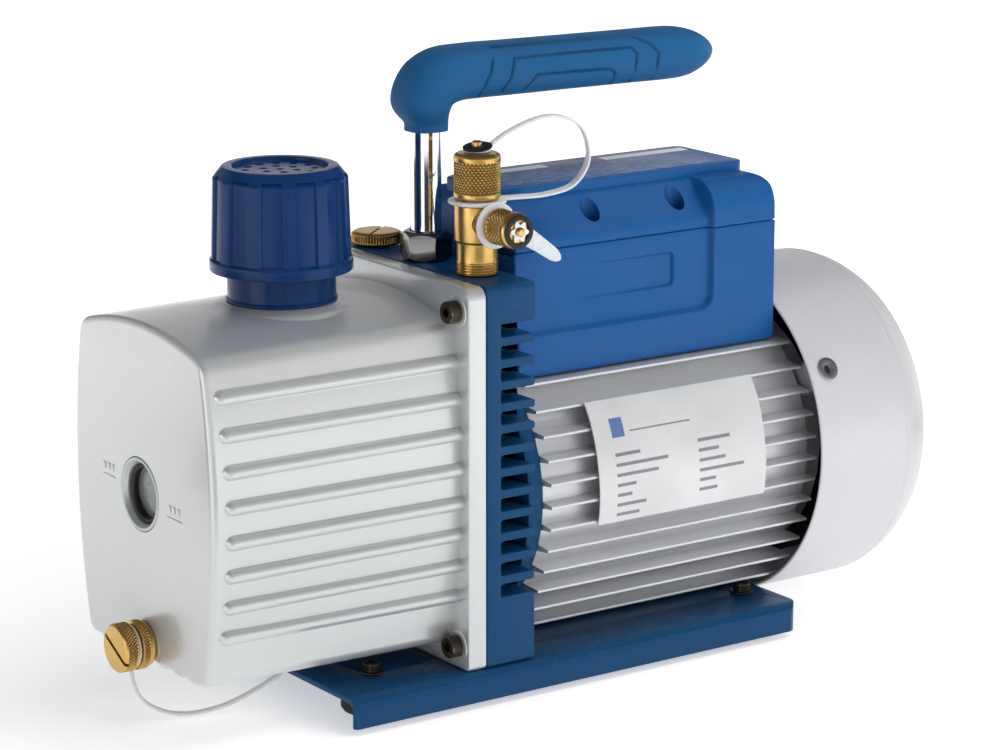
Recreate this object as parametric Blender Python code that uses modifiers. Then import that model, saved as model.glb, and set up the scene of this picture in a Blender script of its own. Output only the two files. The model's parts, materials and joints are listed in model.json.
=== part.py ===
"""Two-stage rotary vane vacuum pump: oil tank, cast pump body, fan-cooled motor, base and fittings.

Everything is modelled in datum coordinates, in mm: x = 0 on the joint face between the tank
flange and the pump body, y = 0 on the shaft's vertical plane, z = 0 on top of the base plate.
The tank is at the front (-X), the motor fan at the rear (+X); "near" is -Y and "far" is +Y.
The parent empty "datum" centres the pump between the drain cap and the fan cover in X, and
stands its rubber feet on Z = 0.
"""
import math

import bmesh
import bpy
from mathutils import Matrix, Vector

MM = 0.001
GAP = 0.3                                        # clearance between touching pieces
SIDES = (("near", -1), ("far", 1))

# ---- driving dimensions (mm) ------------------------------------------------------------
BODY_W, BODY_H, BODY_T = 114.0, 148.0, 22.0      # cast pump body: width, height, thickness
BODY_CORNER_R = 4.5
SHAFT_Z = 61.0
FLANGE_T = 8.4                                   # tank flange thickness
TANK_FRONT = -115.4                              # front face of the tank
SCREW_Y, SCREW_Z = 48.0, (10.5, 137.5)           # tank flange screws
SIGHT_Y, SIGHT_Z, SIGHT_R = 1.5, 74.0, 14.0      # oil sight glass
DRAIN_X, DRAIN_Z, DRAIN_R = -128.5, 17.0, 9.3    # oil drain cap: outer face, height, radius
CAP_X, CAP_R, CAP_Z0, CAP_Z1 = -53.9, 26.9, 152.0, 191.3      # exhaust and oil fill cap
PAD_Z = 140.6                                    # top of the filler pad on the tank
TOP_X = BODY_T / 2                               # inlet, handle and knob share this plane
INLET_Y = -34.6
KNOB_Y = 35.0
BASE_X0, BASE_X1, BASE_W, BASE_T = -61.0, 152.0, 119.0, 2.0
FOOT_H, FOOT_X, FOOT_Y = 14.0, (-38.0, 141.0), 35.0
MOTOR_X0, MOTOR_X1 = 27.8, 158.0                 # extruded motor housing
FIN_TIP_R, CORE_R = 61.0, 54.0                   # its fin tips and round core
COVER_R, COVER_X0, COVER_X1 = 68.5, 154.0, 215.0              # fan cover
BOX_X0, BOX_X1, BOX_HALF = 27.0, 152.5, 38.6     # terminal box: length span and half-width
BOX_Z0, BOX_SEAM, BOX_SHOULDER, BOX_TOP = 105.3, 153.7, 163.0, 175.6

# ---- looks: colour, roughness, metallic ---------------------------------------------------
BLUE, DARK_BLUE, BOX_BLUE = (0.030, 0.125, 0.315), (0.012, 0.045, 0.190), (0.018, 0.120, 0.365)
BLACK, BRASS, CHROME = (0.015, 0.015, 0.016), (0.66, 0.43, 0.14), (0.75, 0.76, 0.78)
LOOKS = {
    "blue paint": (BLUE, 0.35, 0.0),
    "dark blue plastic": (DARK_BLUE, 0.4, 0.0),
    "box blue": (BOX_BLUE, 0.4, 0.0),
    "grip blue": ((0.030, 0.135, 0.330), 0.6, 0.0),
    "silver paint": ((0.58, 0.60, 0.60), 0.38, 0.15),
    "rubber": (BLACK, 0.75, 0.0),
    "satin black": (BLACK, 0.45, 0.0),
    "glossy black": (BLACK, 0.35, 0.0),
    "fan black": ((0.05, 0.05, 0.055), 0.5, 0.0),
    "vane": ((0.10, 0.08, 0.06), 0.5, 0.0),
    "dark screw": ((0.10, 0.08, 0.06), 0.4, 0.9),
    "steel screw": ((0.42, 0.42, 0.43), 0.3, 0.9),
    "brass": (BRASS, 0.3, 1.0),
    "cap brass": (BRASS, 0.32, 1.0),
    "polished post": (CHROME, 0.08, 1.0),
    "polished nut": (CHROME, 0.1, 1.0),
    "white": ((0.80, 0.82, 0.82), 0.45, 0.0),
    "bezel": ((0.55, 0.57, 0.57), 0.3, 0.6),
    "lens": ((0.75, 0.80, 0.80), 0.05, 0.0),
    "filter": ((0.80, 0.78, 0.70), 0.9, 0.0),
    "aluminium": ((0.70, 0.71, 0.72), 0.25, 0.9),
    "end shield": ((0.45, 0.46, 0.47), 0.5, 0.6),
    "fan cover": ((0.62, 0.63, 0.64), 0.35, 0.7),
    "stator core": ((0.30, 0.31, 0.33), 0.5, 0.9),
    "winding": ((0.42, 0.13, 0.05), 0.45, 0.6),
    "shaft": ((0.55, 0.55, 0.56), 0.25, 1.0),
    "rotor core": ((0.35, 0.36, 0.38), 0.45, 0.9),
    "bearing": ((0.60, 0.61, 0.63), 0.2, 1.0),
    "pump stator": ((0.32, 0.33, 0.34), 0.45, 0.8),
    "end cover": ((0.34, 0.35, 0.36), 0.45, 0.8),
    "pump rotor": ((0.45, 0.46, 0.48), 0.3, 0.9),
    "spring steel": ((0.60, 0.60, 0.58), 0.3, 1.0),
    "capacitor": ((0.75, 0.75, 0.73), 0.4, 0.0),
    "rating plate": ((0.72, 0.73, 0.73), 0.35, 0.5),
}

# ---- Euler angles -------------------------------------------------------------------------
# turning local +Z onto a direction
ALONG_Z = (0, 0, 0)
ALONG_X = (0, math.pi / 2, 0)
ALONG_MINUS_X = (0, -math.pi / 2, 0)
ALONG_MINUS_Y = (math.pi / 2, 0, 0)
# laying a flat outline's (u, v) in a plane
PLANE_YZ = (math.pi / 2, 0, math.pi / 2)
PLANE_XY = (0, 0, 0)
PLANE_XZ = (math.pi / 2, 0, 0)


# ---- scene --------------------------------------------------------------------------------
for old in list(bpy.data.objects):
    bpy.data.objects.remove(old, do_unlink=True)
for old in list(bpy.data.collections):
    bpy.data.collections.remove(old)

PARTS = bpy.data.collections.new("rotary_vane_vacuum_pump")
CUTTERS = bpy.data.collections.new("cutters")
bpy.context.scene.collection.children.link(PARTS)
bpy.context.scene.collection.children.link(CUTTERS)


def empty(name, at, parent=None):
    """An empty, used as the origin of pieces that turn or lift off."""
    marker = bpy.data.objects.new(name, None)
    marker.location = Vector(at) * MM
    marker.parent = parent
    marker.empty_display_size = 0.01
    PARTS.objects.link(marker)
    return marker


DATUM = empty("datum", (-(DRAIN_X + COVER_X1) / 2, 0, FOOT_H))


def material(name, look):
    color, roughness, metallic = LOOKS[look]
    made = bpy.data.materials.new(name)
    made.use_nodes = True
    shader = made.node_tree.nodes["Principled BSDF"]
    shader.inputs["Base Color"].default_value = (*color, 1.0)
    shader.inputs["Roughness"].default_value = roughness
    shader.inputs["Metallic"].default_value = metallic
    made.diffuse_color = (*color, 1.0)
    return made


def finish(piece, name, look, parent=None, sharp_angle=35.0):
    """Names, colours and shades a piece, and hangs it on its empty without moving it."""
    piece.name = name
    piece.data.name = name
    piece.data.materials.clear()
    piece.data.materials.append(material(name, look))
    piece.data.shade_smooth()
    piece.data.set_sharp_from_angle(angle=math.radians(sharp_angle))
    piece.parent = parent or DATUM
    if parent:
        piece.location -= parent.location


# ---- points -------------------------------------------------------------------------------
def polar(u, v, radius, angle):
    return (u + radius * math.cos(angle), v + radius * math.sin(angle))


def arc(u, v, radius, start, end, count):
    """Points on an arc about (u, v); start and end in degrees."""
    return [polar(u, v, radius, math.radians(start + (end - start) * i / count))
            for i in range(count + 1)]


def angles(count, phase=0.0):
    """Equal steps round a circle in radians, shifted by a fraction of a step."""
    return [2 * math.pi * (i + phase) / count for i in range(count)]


def circle(u, v, radius, count):
    return [polar(u, v, radius, angle) for angle in angles(count)]


def reverse(points):
    return list(reversed(points))


def mirror(half):
    """The other half of a symmetric outline, running back from where the first half ends."""
    return [(-u, v) for u, v in reversed(half)]


def around_shaft(x, radius, angle):
    """A point about the shaft axis; the angle runs from +Y towards +Z."""
    return (x, *polar(0, SHAFT_Z, radius, angle))


def radial(angle):
    """Euler angles turning local +Z away from the shaft axis at an angle."""
    return (angle - math.pi / 2, 0, 0)


def side_span(side, inner, outer):
    """A span of distances from the middle plane, as rising y values on one side."""
    return sorted((side * inner, side * outer))


def shifted(points, origin):
    return [Vector(origin) + Vector(point) for point in points]


# ---- solids -------------------------------------------------------------------------------
def to_object(edit, name, at=(0, 0, 0), turn=ALONG_Z):
    """Closes a bmesh into a new object."""
    mesh = bpy.data.meshes.new(name)
    edit.to_mesh(mesh)
    edit.free()
    piece = bpy.data.objects.new(name, mesh)
    PARTS.objects.link(piece)
    piece.location = Vector(at) * MM
    piece.rotation_euler = turn
    return piece


def turned(profile, steps, at=(0, 0, 0), turn=ALONG_Z):
    """A profile of (radius, height along the axis) points, swept round the axis."""
    edit = bmesh.new()
    verts = [edit.verts.new((radius * MM, 0, height * MM)) for radius, height in profile]
    for start, end in zip(verts, verts[1:]):
        edit.edges.new((start, end))
    if profile[0][0] > 1e-6:                       # a ring: close its profile
        edit.edges.new((verts[-1], verts[0]))
    piece = to_object(edit, "turned", at, turn)
    screw = piece.modifiers.new("turn", "SCREW")
    screw.steps = screw.render_steps = steps
    screw.use_merge_vertices = True
    screw.merge_threshold = 0.00001
    screw.use_smooth_shade = True
    return piece


def block(size, centre, turn=ALONG_Z, name="box"):
    edit = bmesh.new()
    bmesh.ops.create_cube(edit, size=1.0)
    bmesh.ops.scale(edit, vec=Vector(size) * MM, verts=edit.verts)
    return to_object(edit, name, centre, turn)


def box(low, high, name="box"):
    """A block between two opposite corners."""
    low, high = Vector(low), Vector(high)
    return block(high - low, (low + high) / 2, name=name)


def rod(radius, length, start, turn, segments, name="rod"):
    """A cylinder starting at a point and running along the turned +Z."""
    edit = bmesh.new()
    bmesh.ops.create_cone(edit, cap_ends=True, segments=segments, radius1=radius * MM,
                          radius2=radius * MM, depth=length * MM,
                          matrix=Matrix.Translation((0, 0, length * MM / 2)))
    return to_object(edit, name, start, turn)


def skin(rings, name, close_start=True):
    """Skins rings of equal point count; the last ring is always closed."""
    edit = bmesh.new()
    loops = [[edit.verts.new(Vector(point) * MM) for point in ring] for ring in rings]
    for loop, following in zip(loops, loops[1:]):
        for i in range(len(loop)):
            j = (i + 1) % len(loop)
            edit.faces.new((loop[i], loop[j], following[j], following[i]))
    if close_start:
        edit.faces.new(loops[0])
    edit.faces.new(loops[-1])
    bmesh.ops.recalc_face_normals(edit, faces=edit.faces)
    return to_object(edit, name)


def poly_spline(curve, points):
    spline = curve.splines.new("POLY")
    spline.points.add(len(points) - 1)
    for target, (x, y, z) in zip(spline.points, points):
        target.co = (x * MM, y * MM, z * MM, 1)
    return spline


def curve_solid(curve, name, at=(0, 0, 0), turn=ALONG_Z):
    """The evaluated curve as a welded mesh object."""
    source = bpy.data.objects.new(name + "_curve", curve)
    PARTS.objects.link(source)
    bpy.context.view_layer.update()
    depsgraph = bpy.context.evaluated_depsgraph_get()
    mesh = bpy.data.meshes.new_from_object(source.evaluated_get(depsgraph))
    edit = bmesh.new()
    edit.from_mesh(mesh)
    bpy.data.meshes.remove(mesh)
    bmesh.ops.remove_doubles(edit, verts=edit.verts, dist=0.000005)
    bmesh.ops.recalc_face_normals(edit, faces=edit.faces)
    bpy.data.objects.remove(source, do_unlink=True)
    return to_object(edit, name, at, turn)


def outline(loops, thickness, centre, name, turn=PLANE_YZ):
    """A flat outline of (u, v) points, with optional holes, thickened about its plane."""
    curve = bpy.data.curves.new(name, "CURVE")
    curve.dimensions = "2D"
    curve.fill_mode = "BOTH"
    curve.extrude = thickness * MM / 2
    for loop in loops:
        poly_spline(curve, [(u, v, 0) for u, v in loop]).use_cyclic_u = True
    return curve_solid(curve, name, centre, turn)


def across_x(loops, x0, x1, name):
    """An outline of (y, z) points extruded from x0 to x1."""
    return outline(loops, x1 - x0, ((x0 + x1) / 2, 0, 0), name)


def tube(points, radius, name):
    curve = bpy.data.curves.new(name, "CURVE")
    curve.dimensions = "3D"
    curve.bevel_depth = radius * MM
    curve.bevel_resolution = 2
    curve.use_fill_caps = True
    poly_spline(curve, points)
    return curve_solid(curve, name)


def smooth_path(control):
    """A Catmull-Rom curve through the control points, two points per span."""
    knots = [Vector(point) for point in control]
    knots = [2 * knots[0] - knots[1]] + knots + [2 * knots[-1] - knots[-2]]
    path = []
    for before, start, end, after in zip(knots, knots[1:], knots[2:], knots[3:]):
        for t in (0.0, 0.5):
            path.append(0.5 * (2 * start + (end - before) * t
                               + (2 * before - 5 * start + 4 * end - after) * t * t
                               + (3 * start - before - 3 * end + after) * t ** 3))
    path.append(knots[-2])
    return path


def strap(control, width, across, name, end_width=None):
    """A flat band along a smooth path, its width lying along "across"; it may taper."""
    thickness = 0.9
    path = smooth_path(control)
    last = len(path) - 1
    rings = []
    for i, point in enumerate(path):
        along = (path[min(i + 1, last)] - path[max(i - 1, 0)]).normalized()
        wide = Vector(across)
        wide = (wide - along * wide.dot(along)).normalized()
        thick = along.cross(wide)
        here = width + ((end_width or width) - width) * i / last
        rings.append([point + wide * (a * here / 2) + thick * (b * thickness / 2)
                      for a, b in ((-1, -1), (1, -1), (1, 1), (-1, 1))])
    return skin(rings, name)


def boolean(piece, tool, operation):
    """Applies a tool to a piece; the tool becomes a hidden helper among the cutters."""
    for group in list(tool.users_collection):
        group.objects.unlink(tool)
    CUTTERS.objects.link(tool)
    tool.hide_render = True
    tool.display_type = "WIRE"
    tool.parent = DATUM
    modifier = piece.modifiers.new(operation.lower(), "BOOLEAN")
    modifier.operation = operation
    modifier.object = tool
    modifier.solver = "EXACT"


def union(piece, tool):
    boolean(piece, tool, "UNION")


def cut(piece, *tools):
    for tool in tools:
        boolean(piece, tool, "DIFFERENCE")


def merge(tools, name):
    """Several separate solids as one mesh object."""
    edit = bmesh.new()
    for tool in tools:
        tool.data.transform(Matrix.LocRotScale(tool.location, tool.rotation_euler, None))
        edit.from_mesh(tool.data)
        bpy.data.objects.remove(tool, do_unlink=True)
    return to_object(edit, name)


# ---- base plate, rubber feet and their screws ---------------------------------------------
BASE_LIP, BASE_BEND = 11.5, 4.5                  # lip depth below the top, outer bend radius


def base_plate():
    half, bend, inner_bend = BASE_W / 2, BASE_BEND, BASE_BEND - BASE_T
    points = [(half, -BASE_LIP)]
    points += arc(half - bend, -bend, bend, 0, 90, 3) + arc(-half + bend, -bend, bend, 90, 180, 3)
    points += [(-half, -BASE_LIP), (-half + BASE_T, -BASE_LIP)]
    points += arc(-half + bend, -bend, inner_bend, 180, 90, 3)
    points += arc(half - bend, -bend, inner_bend, 90, 0, 3)
    points += [(half - BASE_T, -BASE_LIP)]
    plate = across_x([points], BASE_X0, BASE_X1, "base_plate")
    holes = [rod(2.8, 6, (x, side * FOOT_Y, -4), ALONG_Z, 16)
             for x in FOOT_X for _, side in SIDES]
    cut(plate, merge(holes, "base_holes"))
    finish(plate, "base_plate", "blue paint")


def feet():
    """Rubber feet under the plate, each held by a socket-head screw from above."""
    foot_profile = [(0, -11.5), (2.7, -11.5), (2.7, -BASE_T - GAP), (10.4, -BASE_T - GAP),
                    (12, -FOOT_H + 1.5), (11.0, -FOOT_H), (0, -FOOT_H)]
    screw_profile = [(0, 2.4), (2.2, 2.4), (2.2, 4.6), (4.2, 4.6), (4.2, 1.3), (6.0, 1.3),
                     (6.0, GAP), (2.3, GAP), (2.3, -10.5), (0, -10.5)]
    for end_name, x in zip(("front", "rear"), FOOT_X):
        for side_name, side in SIDES:
            at = (x, side * FOOT_Y, 0)
            place = f"{end_name}_{side_name}"
            finish(turned(foot_profile, 16, at), f"foot_{place}", "rubber")
            finish(turned(screw_profile, 12, at), f"foot_screw_{place}", "dark screw")


# ---- cast pump body -----------------------------------------------------------------------
SLOT_COUNT, SLOT_Z0, SLOT_PITCH = 13, 27.6, 8.4  # cooling slots in both sides
SLOT_H, SLOT_DEPTH, SLOT_X0 = 4.9, 12.0, 6.2
SPIGOT_R, SPIGOT_T = 58.0, 5.5                   # round motor adapter
SCREW_BORE_R = 2.9
DUCT_R = 3.6                                     # suction duct


def body_outline():
    """Rounded rectangle shared by the pump body and the tank flange."""
    r = BODY_CORNER_R
    left, right = -BODY_W / 2 + r, BODY_W / 2 - r
    low, high = GAP + r, BODY_H - r
    return (arc(right, low, r, -90, 0, 3) + arc(right, high, r, 0, 90, 3)
            + arc(left, high, r, 90, 180, 3) + arc(left, low, r, 180, 270, 3))


def screw_bores(x):
    return [rod(SCREW_BORE_R, 20, (x, side * SCREW_Y, z), ALONG_X, 12)
            for _, side in SIDES for z in SCREW_Z]


def body_slots():
    slots = []
    for i in range(SLOT_COUNT):
        z = SLOT_Z0 + i * SLOT_PITCH
        for _, side in SIDES:
            y0, y1 = side_span(side, BODY_W / 2 - SLOT_DEPTH, BODY_W / 2 + 2)
            slots.append(box((SLOT_X0, y0, z), (BODY_T + 2, y1, z + SLOT_H)))
    return merge(slots, "body_slots")


def adapter_rim():
    """Rim on the adapter's rear face, relieved below the terminal box."""
    relief = math.degrees(math.asin((BOX_Z0 - 0.7 - SHAFT_Z) / SPIGOT_R))
    rim = arc(0, SHAFT_Z, SPIGOT_R, 180 - relief, 360 + relief, 34)
    rim += arc(0, SHAFT_Z, CORE_R - 0.1, relief, 180 - relief, 8)
    return across_x([rim], BODY_T + 3.0, BODY_T + SPIGOT_T, "adapter_rim")


def pump_body():
    body = across_x([body_outline()], 0, BODY_T, "pump_body")
    cut(body, body_slots())
    union(body, rod(SPIGOT_R, 6.6, (BODY_T - 2, 0, SHAFT_Z), ALONG_X, 48))
    union(body, adapter_rim())
    cut(body, rod(17.8, 30, (13.0, 0, SHAFT_Z), ALONG_X, 24),        # front bearing seat
        rod(9.4, 40, (-5, 0, SHAFT_Z), ALONG_X, 16))                 # shaft passage
    ports = [rod(7.9, 30, (TOP_X, INLET_Y, 128.0), ALONG_Z, 16),     # inlet port
             rod(5.2, 20, (TOP_X, KNOB_Y, 132.0), ALONG_Z, 12),      # gas ballast valve seat
             rod(6.4, 30, (TOP_X, 0, 122.0), ALONG_Z, 12)]           # handle post thread
    cut(body, merge(ports + screw_bores(-4), "body_ports"))
    cut(body, rod(DUCT_R, 70, (TOP_X, INLET_Y, 70.0), ALONG_Z, 8),   # duct down from the inlet
        rod(DUCT_R, 20, (-5, INLET_Y + 2, 74.0), ALONG_X, 8))        # and out at the front face
    finish(body, "pump_body", "blue paint")


# ---- oil tank -----------------------------------------------------------------------------
TANK_WALL = 3.5
TANK_FRONT_R = 5.0                               # rounded front edge
SIDE_SAG, CROWN_SAG = 7.3, 4.2                   # how far side and crown pull in at their ends
RIB_Z = (119.0, 106.2, 93.2, 80.2, 67.3, 54.8, 42.6, 30.4)
RIB_R, RIB_SINK = 2.3, 0.1                       # rib radius, depth of its axis in the wall


def tank_extents(x, inset=0.0):
    """Half-width, top and bottom of the tank at a station; it grows towards the flange."""
    t = (x - TANK_FRONT) / (-FLANGE_T - TANK_FRONT)
    return 50.8 + 0.4 * t - inset, 138.3 + 1.9 * t - inset, 10.4 - 1.9 * t + inset


def tank_side(half_width, top, bottom, z):
    """Half-width of the barrelled side at a height."""
    middle, half_height = (top + bottom) / 2, (top - bottom) / 2
    return half_width - SIDE_SAG * ((z - middle) / half_height) ** 2


def wall_y(x, z):
    return tank_side(*tank_extents(x), z)


def tank_section(x, inset=0.0):
    """Barrel-sided section: side, crown and floor blended by corner arcs."""
    half_width, top, bottom = tank_extents(x, inset)
    corner_r = 9.0 - inset * 0.9
    z_low, z_high = bottom + corner_r, top - CROWN_SAG - corner_r

    def side_y(z):
        return tank_side(half_width, top, bottom, z)

    def crown_z(y):
        return top - CROWN_SAG * (y / half_width) ** 2

    half = arc(side_y(z_low) - corner_r, z_low, corner_r, -90, 0, 2)
    for i in (1, 2, 3):
        z = z_low + (z_high - z_low) * i / 4
        half.append((side_y(z), z))
    corner_y = side_y(z_high) - corner_r
    corner = arc(corner_y, z_high, corner_r, 0, 90, 2)
    lift = crown_z(corner_y) - corner[-1][1]               # ends the corner on the crown
    half += [(u, v + lift * i / 2) for i, (u, v) in enumerate(corner)]
    half += [(y, crown_z(y)) for y in (corner_y * (1 - i / 3) for i in (1, 2))]
    return [(0.0, bottom)] + half + [(0.0, crown_z(0))] + mirror(half)


def tank_shell():
    stations = [(-2.0, tank_section(-FLANGE_T)), (-60.0, tank_section(-60.0))]
    for angle in map(math.radians, (0, 45, 90)):
        x = TANK_FRONT + TANK_FRONT_R - TANK_FRONT_R * math.sin(angle)
        stations.append((x, tank_section(TANK_FRONT, TANK_FRONT_R * (1 - math.cos(angle)))))
    rings = [[(x, y, z) for y, z in section] for x, section in stations]
    shell = skin(rings, "oil_tank", close_start=False)
    wall = shell.modifiers.new("wall", "SOLIDIFY")
    wall.thickness = TANK_WALL * MM
    wall.offset = -1.0
    wall.use_even_offset = True
    return shell


def tank_rib(side, z):
    """A six-sided bar half sunk in the side wall, starting further back the higher it is."""
    x0, x1 = -106.0 - (RIB_Z[0] - z) * 0.02, -4.0
    start = Vector((x0, side * (wall_y(x0, z) - RIB_SINK), z))
    end = Vector((x1, side * (wall_y(-FLANGE_T, z) - RIB_SINK), z))
    along = end - start
    turn = along.to_track_quat("Z", "Y").to_matrix().to_4x4()
    edit = bmesh.new()
    bmesh.ops.create_cone(edit, cap_ends=True, segments=6, radius1=RIB_R * MM,
                          radius2=RIB_R * MM, depth=along.length * MM,
                          matrix=Matrix.Translation((start + end) / 2 * MM) @ turn)
    return to_object(edit, "rib")


def oil_tank():
    tank = tank_shell()
    opening = reverse(tank_section(-FLANGE_T, 1.7))
    union(tank, across_x([body_outline(), opening], -FLANGE_T, -GAP, "tank_flange"))
    union(tank, merge([tank_rib(side, z) for _, side in SIDES for z in RIB_Z], "tank_ribs"))
    pad_h = 9.6
    union(tank, rod(23.0, pad_h, (CAP_X, 0, PAD_Z - pad_h), ALONG_Z, 20))    # filler pad
    cut(tank, rod(14.0, 30, (CAP_X, 0, 122), ALONG_Z, 20))                   # filler opening
    cut_x = TANK_FRONT - 4
    cut(tank, rod(SIGHT_R + GAP, 20, (cut_x, SIGHT_Y, SIGHT_Z), ALONG_X, 24))
    cut(tank, rod(4.2, 20, (cut_x, 0, DRAIN_Z), ALONG_X, 12))                # drain opening
    cut(tank, merge(screw_bores(-14), "flange_holes"))
    finish(tank, "oil_tank", "silver paint")


def tank_screws():
    profile = [(0, 2.6), (2.2, 2.6), (2.2, 5.3), (4.3, 5.3), (4.3, GAP), (2.6, GAP),
               (2.6, -18), (0, -18)]
    for level, z in zip(("lower", "upper"), SCREW_Z):
        for side_name, side in SIDES:
            screw = turned(profile, 12, (-FLANGE_T, side * SCREW_Y, z), ALONG_MINUS_X)
            finish(screw, f"tank_screw_{level}_{side_name}", "dark screw")


def sight_glass():
    """Bezel ring with the lens held behind its inner lip."""
    at = (TANK_FRONT, SIGHT_Y, SIGHT_Z)
    ring = turned([(11.2, 2.2), (13.0, 2.2), (SIGHT_R, 1.2), (SIGHT_R, -7.0), (9.2, -7.0),
                   (9.2, -5.4), (11.2, -5.4)], 24, at, ALONG_MINUS_X)
    finish(ring, "sight_glass_ring", "bezel")
    lens = turned([(0, -2.0), (10.4, -2.0), (10.9, -2.4), (10.9, -5.1), (0, -5.1)], 24,
                  at, ALONG_MINUS_X)
    finish(lens, "sight_glass_lens", "lens")


# ---- oil drain ----------------------------------------------------------------------------
TETHER_X = TANK_FRONT - 6.6                      # plane of the tether ring in the cap's groove
DRAIN_BAND = [                                   # (x from TETHER_X, y, z), ring to free end
    (0, 0.0, DRAIN_Z - 8.4), (0.4, -0.8, 2.6), (3.4, -2.5, -4.3), (11.3, -5.5, -9.5),
    (22, -8.5, -11.2), (35, -11, -9.5), (48, -13, -4.8), (56.5, -14.5, -0.4)]


def oil_drain():
    lift_axis = empty("drain_lift_axis", (DRAIN_X, 0, DRAIN_Z), DATUM)
    cap_axis = empty("drain_cap_axis", (DRAIN_X, 0, DRAIN_Z), DATUM)
    at = (TANK_FRONT, 0, DRAIN_Z)
    valve = turned([(1.8, 8.6), (5.6, 8.6), (5.6, 1.9), (8.0, 1.9), (8.0, GAP), (3.9, GAP),
                    (3.9, -7.5), (1.8, -7.5)], 16, at, ALONG_MINUS_X)
    finish(valve, "drain_valve_body", "brass")

    face = TANK_FRONT - DRAIN_X                            # outer face of the cap
    cap = turned([(0, face), (DRAIN_R - 0.8, face), (DRAIN_R, face - 0.8), (DRAIN_R, 7.4),
                  (7.4, 7.4), (7.4, 5.8), (DRAIN_R, 5.8), (DRAIN_R, 2.3), (5.9, 2.3),
                  (5.9, 9.6), (0, 9.6)], 24, at, ALONG_MINUS_X)
    cut(cap, block((3.4, 24, 1.4), (DRAIN_X - 0.3, 0, DRAIN_Z),
                   (math.radians(-52), 0, 0), "drain_slot"))
    finish(cap, "drain_cap", "cap brass", cap_axis)

    # loose ring in the cap's groove and a strap that hangs under the tank
    tether = turned([(7.7, 0.5), (9.0, 0.5), (9.0, -0.5), (7.7, -0.5)], 16,
                    (TETHER_X, 0, DRAIN_Z), ALONG_MINUS_X)
    union(tether, strap(shifted(DRAIN_BAND, (TETHER_X, 0, 0)), 2.6, (0.25, 1, 0), "drain_band"))
    finish(tether, "drain_tether", "white", lift_axis)


# ---- exhaust: filler neck, mist filter and vented cap -------------------------------------
NECK_R = 20.4
FLUTE_R, FLUTE_SIZE = 27.0, (3.9, 8.2)           # flute centres; radial and tangential size
FLUTE_Z0, FLUTE_Z1 = CAP_Z0 + 6.0, CAP_Z1 - 2.0
VENT_R = 1.5
VENT_RINGS = ((6.4, 6), (12.6, 12))              # ring radius, number of vents


def filler_neck():
    neck = turned([(10.8, 166.0), (17.6, 166.0), (17.6, 151.2), (NECK_R, 151.2),
                   (NECK_R, PAD_Z + GAP), (13.6, PAD_Z + GAP), (13.6, 131.5), (10.8, 131.5)],
                  24, (CAP_X, 0, 0))
    finish(neck, "filler_neck", "dark blue plastic")


def exhaust_filter(lift_axis):
    element = turned([(9.0, 187.4), (22.6, 187.4), (22.6, 168.2), (9.0, 168.2)], 24,
                     (CAP_X, 0, 0))
    finish(element, "exhaust_filter_element", "filter", lift_axis)


def cap_vent(radius, angle):
    return rod(VENT_R, 8, (*polar(CAP_X, 0, radius, angle), CAP_Z1 - 6), ALONG_Z, 6)


def exhaust_cap(cap_axis):
    """Fluted cap: recessed top with vents, hollow for the filter above a socket."""
    cap = turned([(0, CAP_Z1 - 1.6), (17.7, CAP_Z1 - 1.6), (17.7, CAP_Z1), (21.5, CAP_Z1),
                  (25.2, CAP_Z1 - 4.2), (26.2, CAP_Z0 + 5.0), (CAP_R, CAP_Z0 + 4.4),
                  (CAP_R, CAP_Z0), (18.0, CAP_Z0), (18.1, 167.6), (23.0, 167.6),
                  (23.0, CAP_Z1 - 3.6), (0, CAP_Z1 - 3.6)], 36, (CAP_X, 0, 0))
    flutes = [block((*FLUTE_SIZE, FLUTE_Z1 - FLUTE_Z0),
                    (*polar(CAP_X, 0, FLUTE_R, angle), (FLUTE_Z0 + FLUTE_Z1) / 2),
                    (0, 0, angle)) for angle in angles(12, 0.5)]
    cut(cap, merge(flutes, "cap_flutes"))
    vents = [cap_vent(0, 0)]
    vents += [cap_vent(radius, angle) for radius, count in VENT_RINGS for angle in angles(count)]
    cut(cap, merge(vents, "cap_vents"))
    finish(cap, "exhaust_cap", "dark blue plastic", cap_axis)


def exhaust():
    lift_axis = empty("exhaust_lift_axis", (CAP_X, 0, CAP_Z0), DATUM)
    cap_axis = empty("exhaust_cap_axis", (CAP_X, 0, CAP_Z0), DATUM)
    filler_neck()
    exhaust_filter(lift_axis)
    exhaust_cap(cap_axis)


# ---- gas ballast knob ---------------------------------------------------------------------
KNOB_R = 10.0


def gas_ballast_knob():
    at = (TOP_X, KNOB_Y, BODY_H)
    knob_axis = empty("gas_ballast_axis", at, DATUM)
    knob = turned([(0, 5.6), (KNOB_R - 0.7, 5.6), (KNOB_R, 4.9), (KNOB_R, 1.2),
                   (KNOB_R - 1.0, 0.5), (4.8, 0.5), (4.8, -14.0), (0, -14.0)], 24, at)
    cut(knob, block((24, 1.4, 3.6), (TOP_X, KNOB_Y, BODY_H + 6.4),
                    (0, 0, math.radians(40)), "knob_slot"))
    finish(knob, "gas_ballast_knob", "brass", knob_axis)


# ---- handle: post bent into the grip, lock nut, rubber grip -------------------------------
POST_R, BEND_R, HANDLE_Z = 6.0, 7.0, 218.5       # post radius, bend radius, level run's height
NUT_FLATS, NUT_H = 17.0, 9.4
POST_BEND = [(TOP_X + BEND_R - BEND_R * math.cos(angle), 0,
              HANDLE_Z - BEND_R + BEND_R * math.sin(angle))
             for angle in map(math.radians, (0, 22.5, 45, 67.5, 90))]
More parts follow.
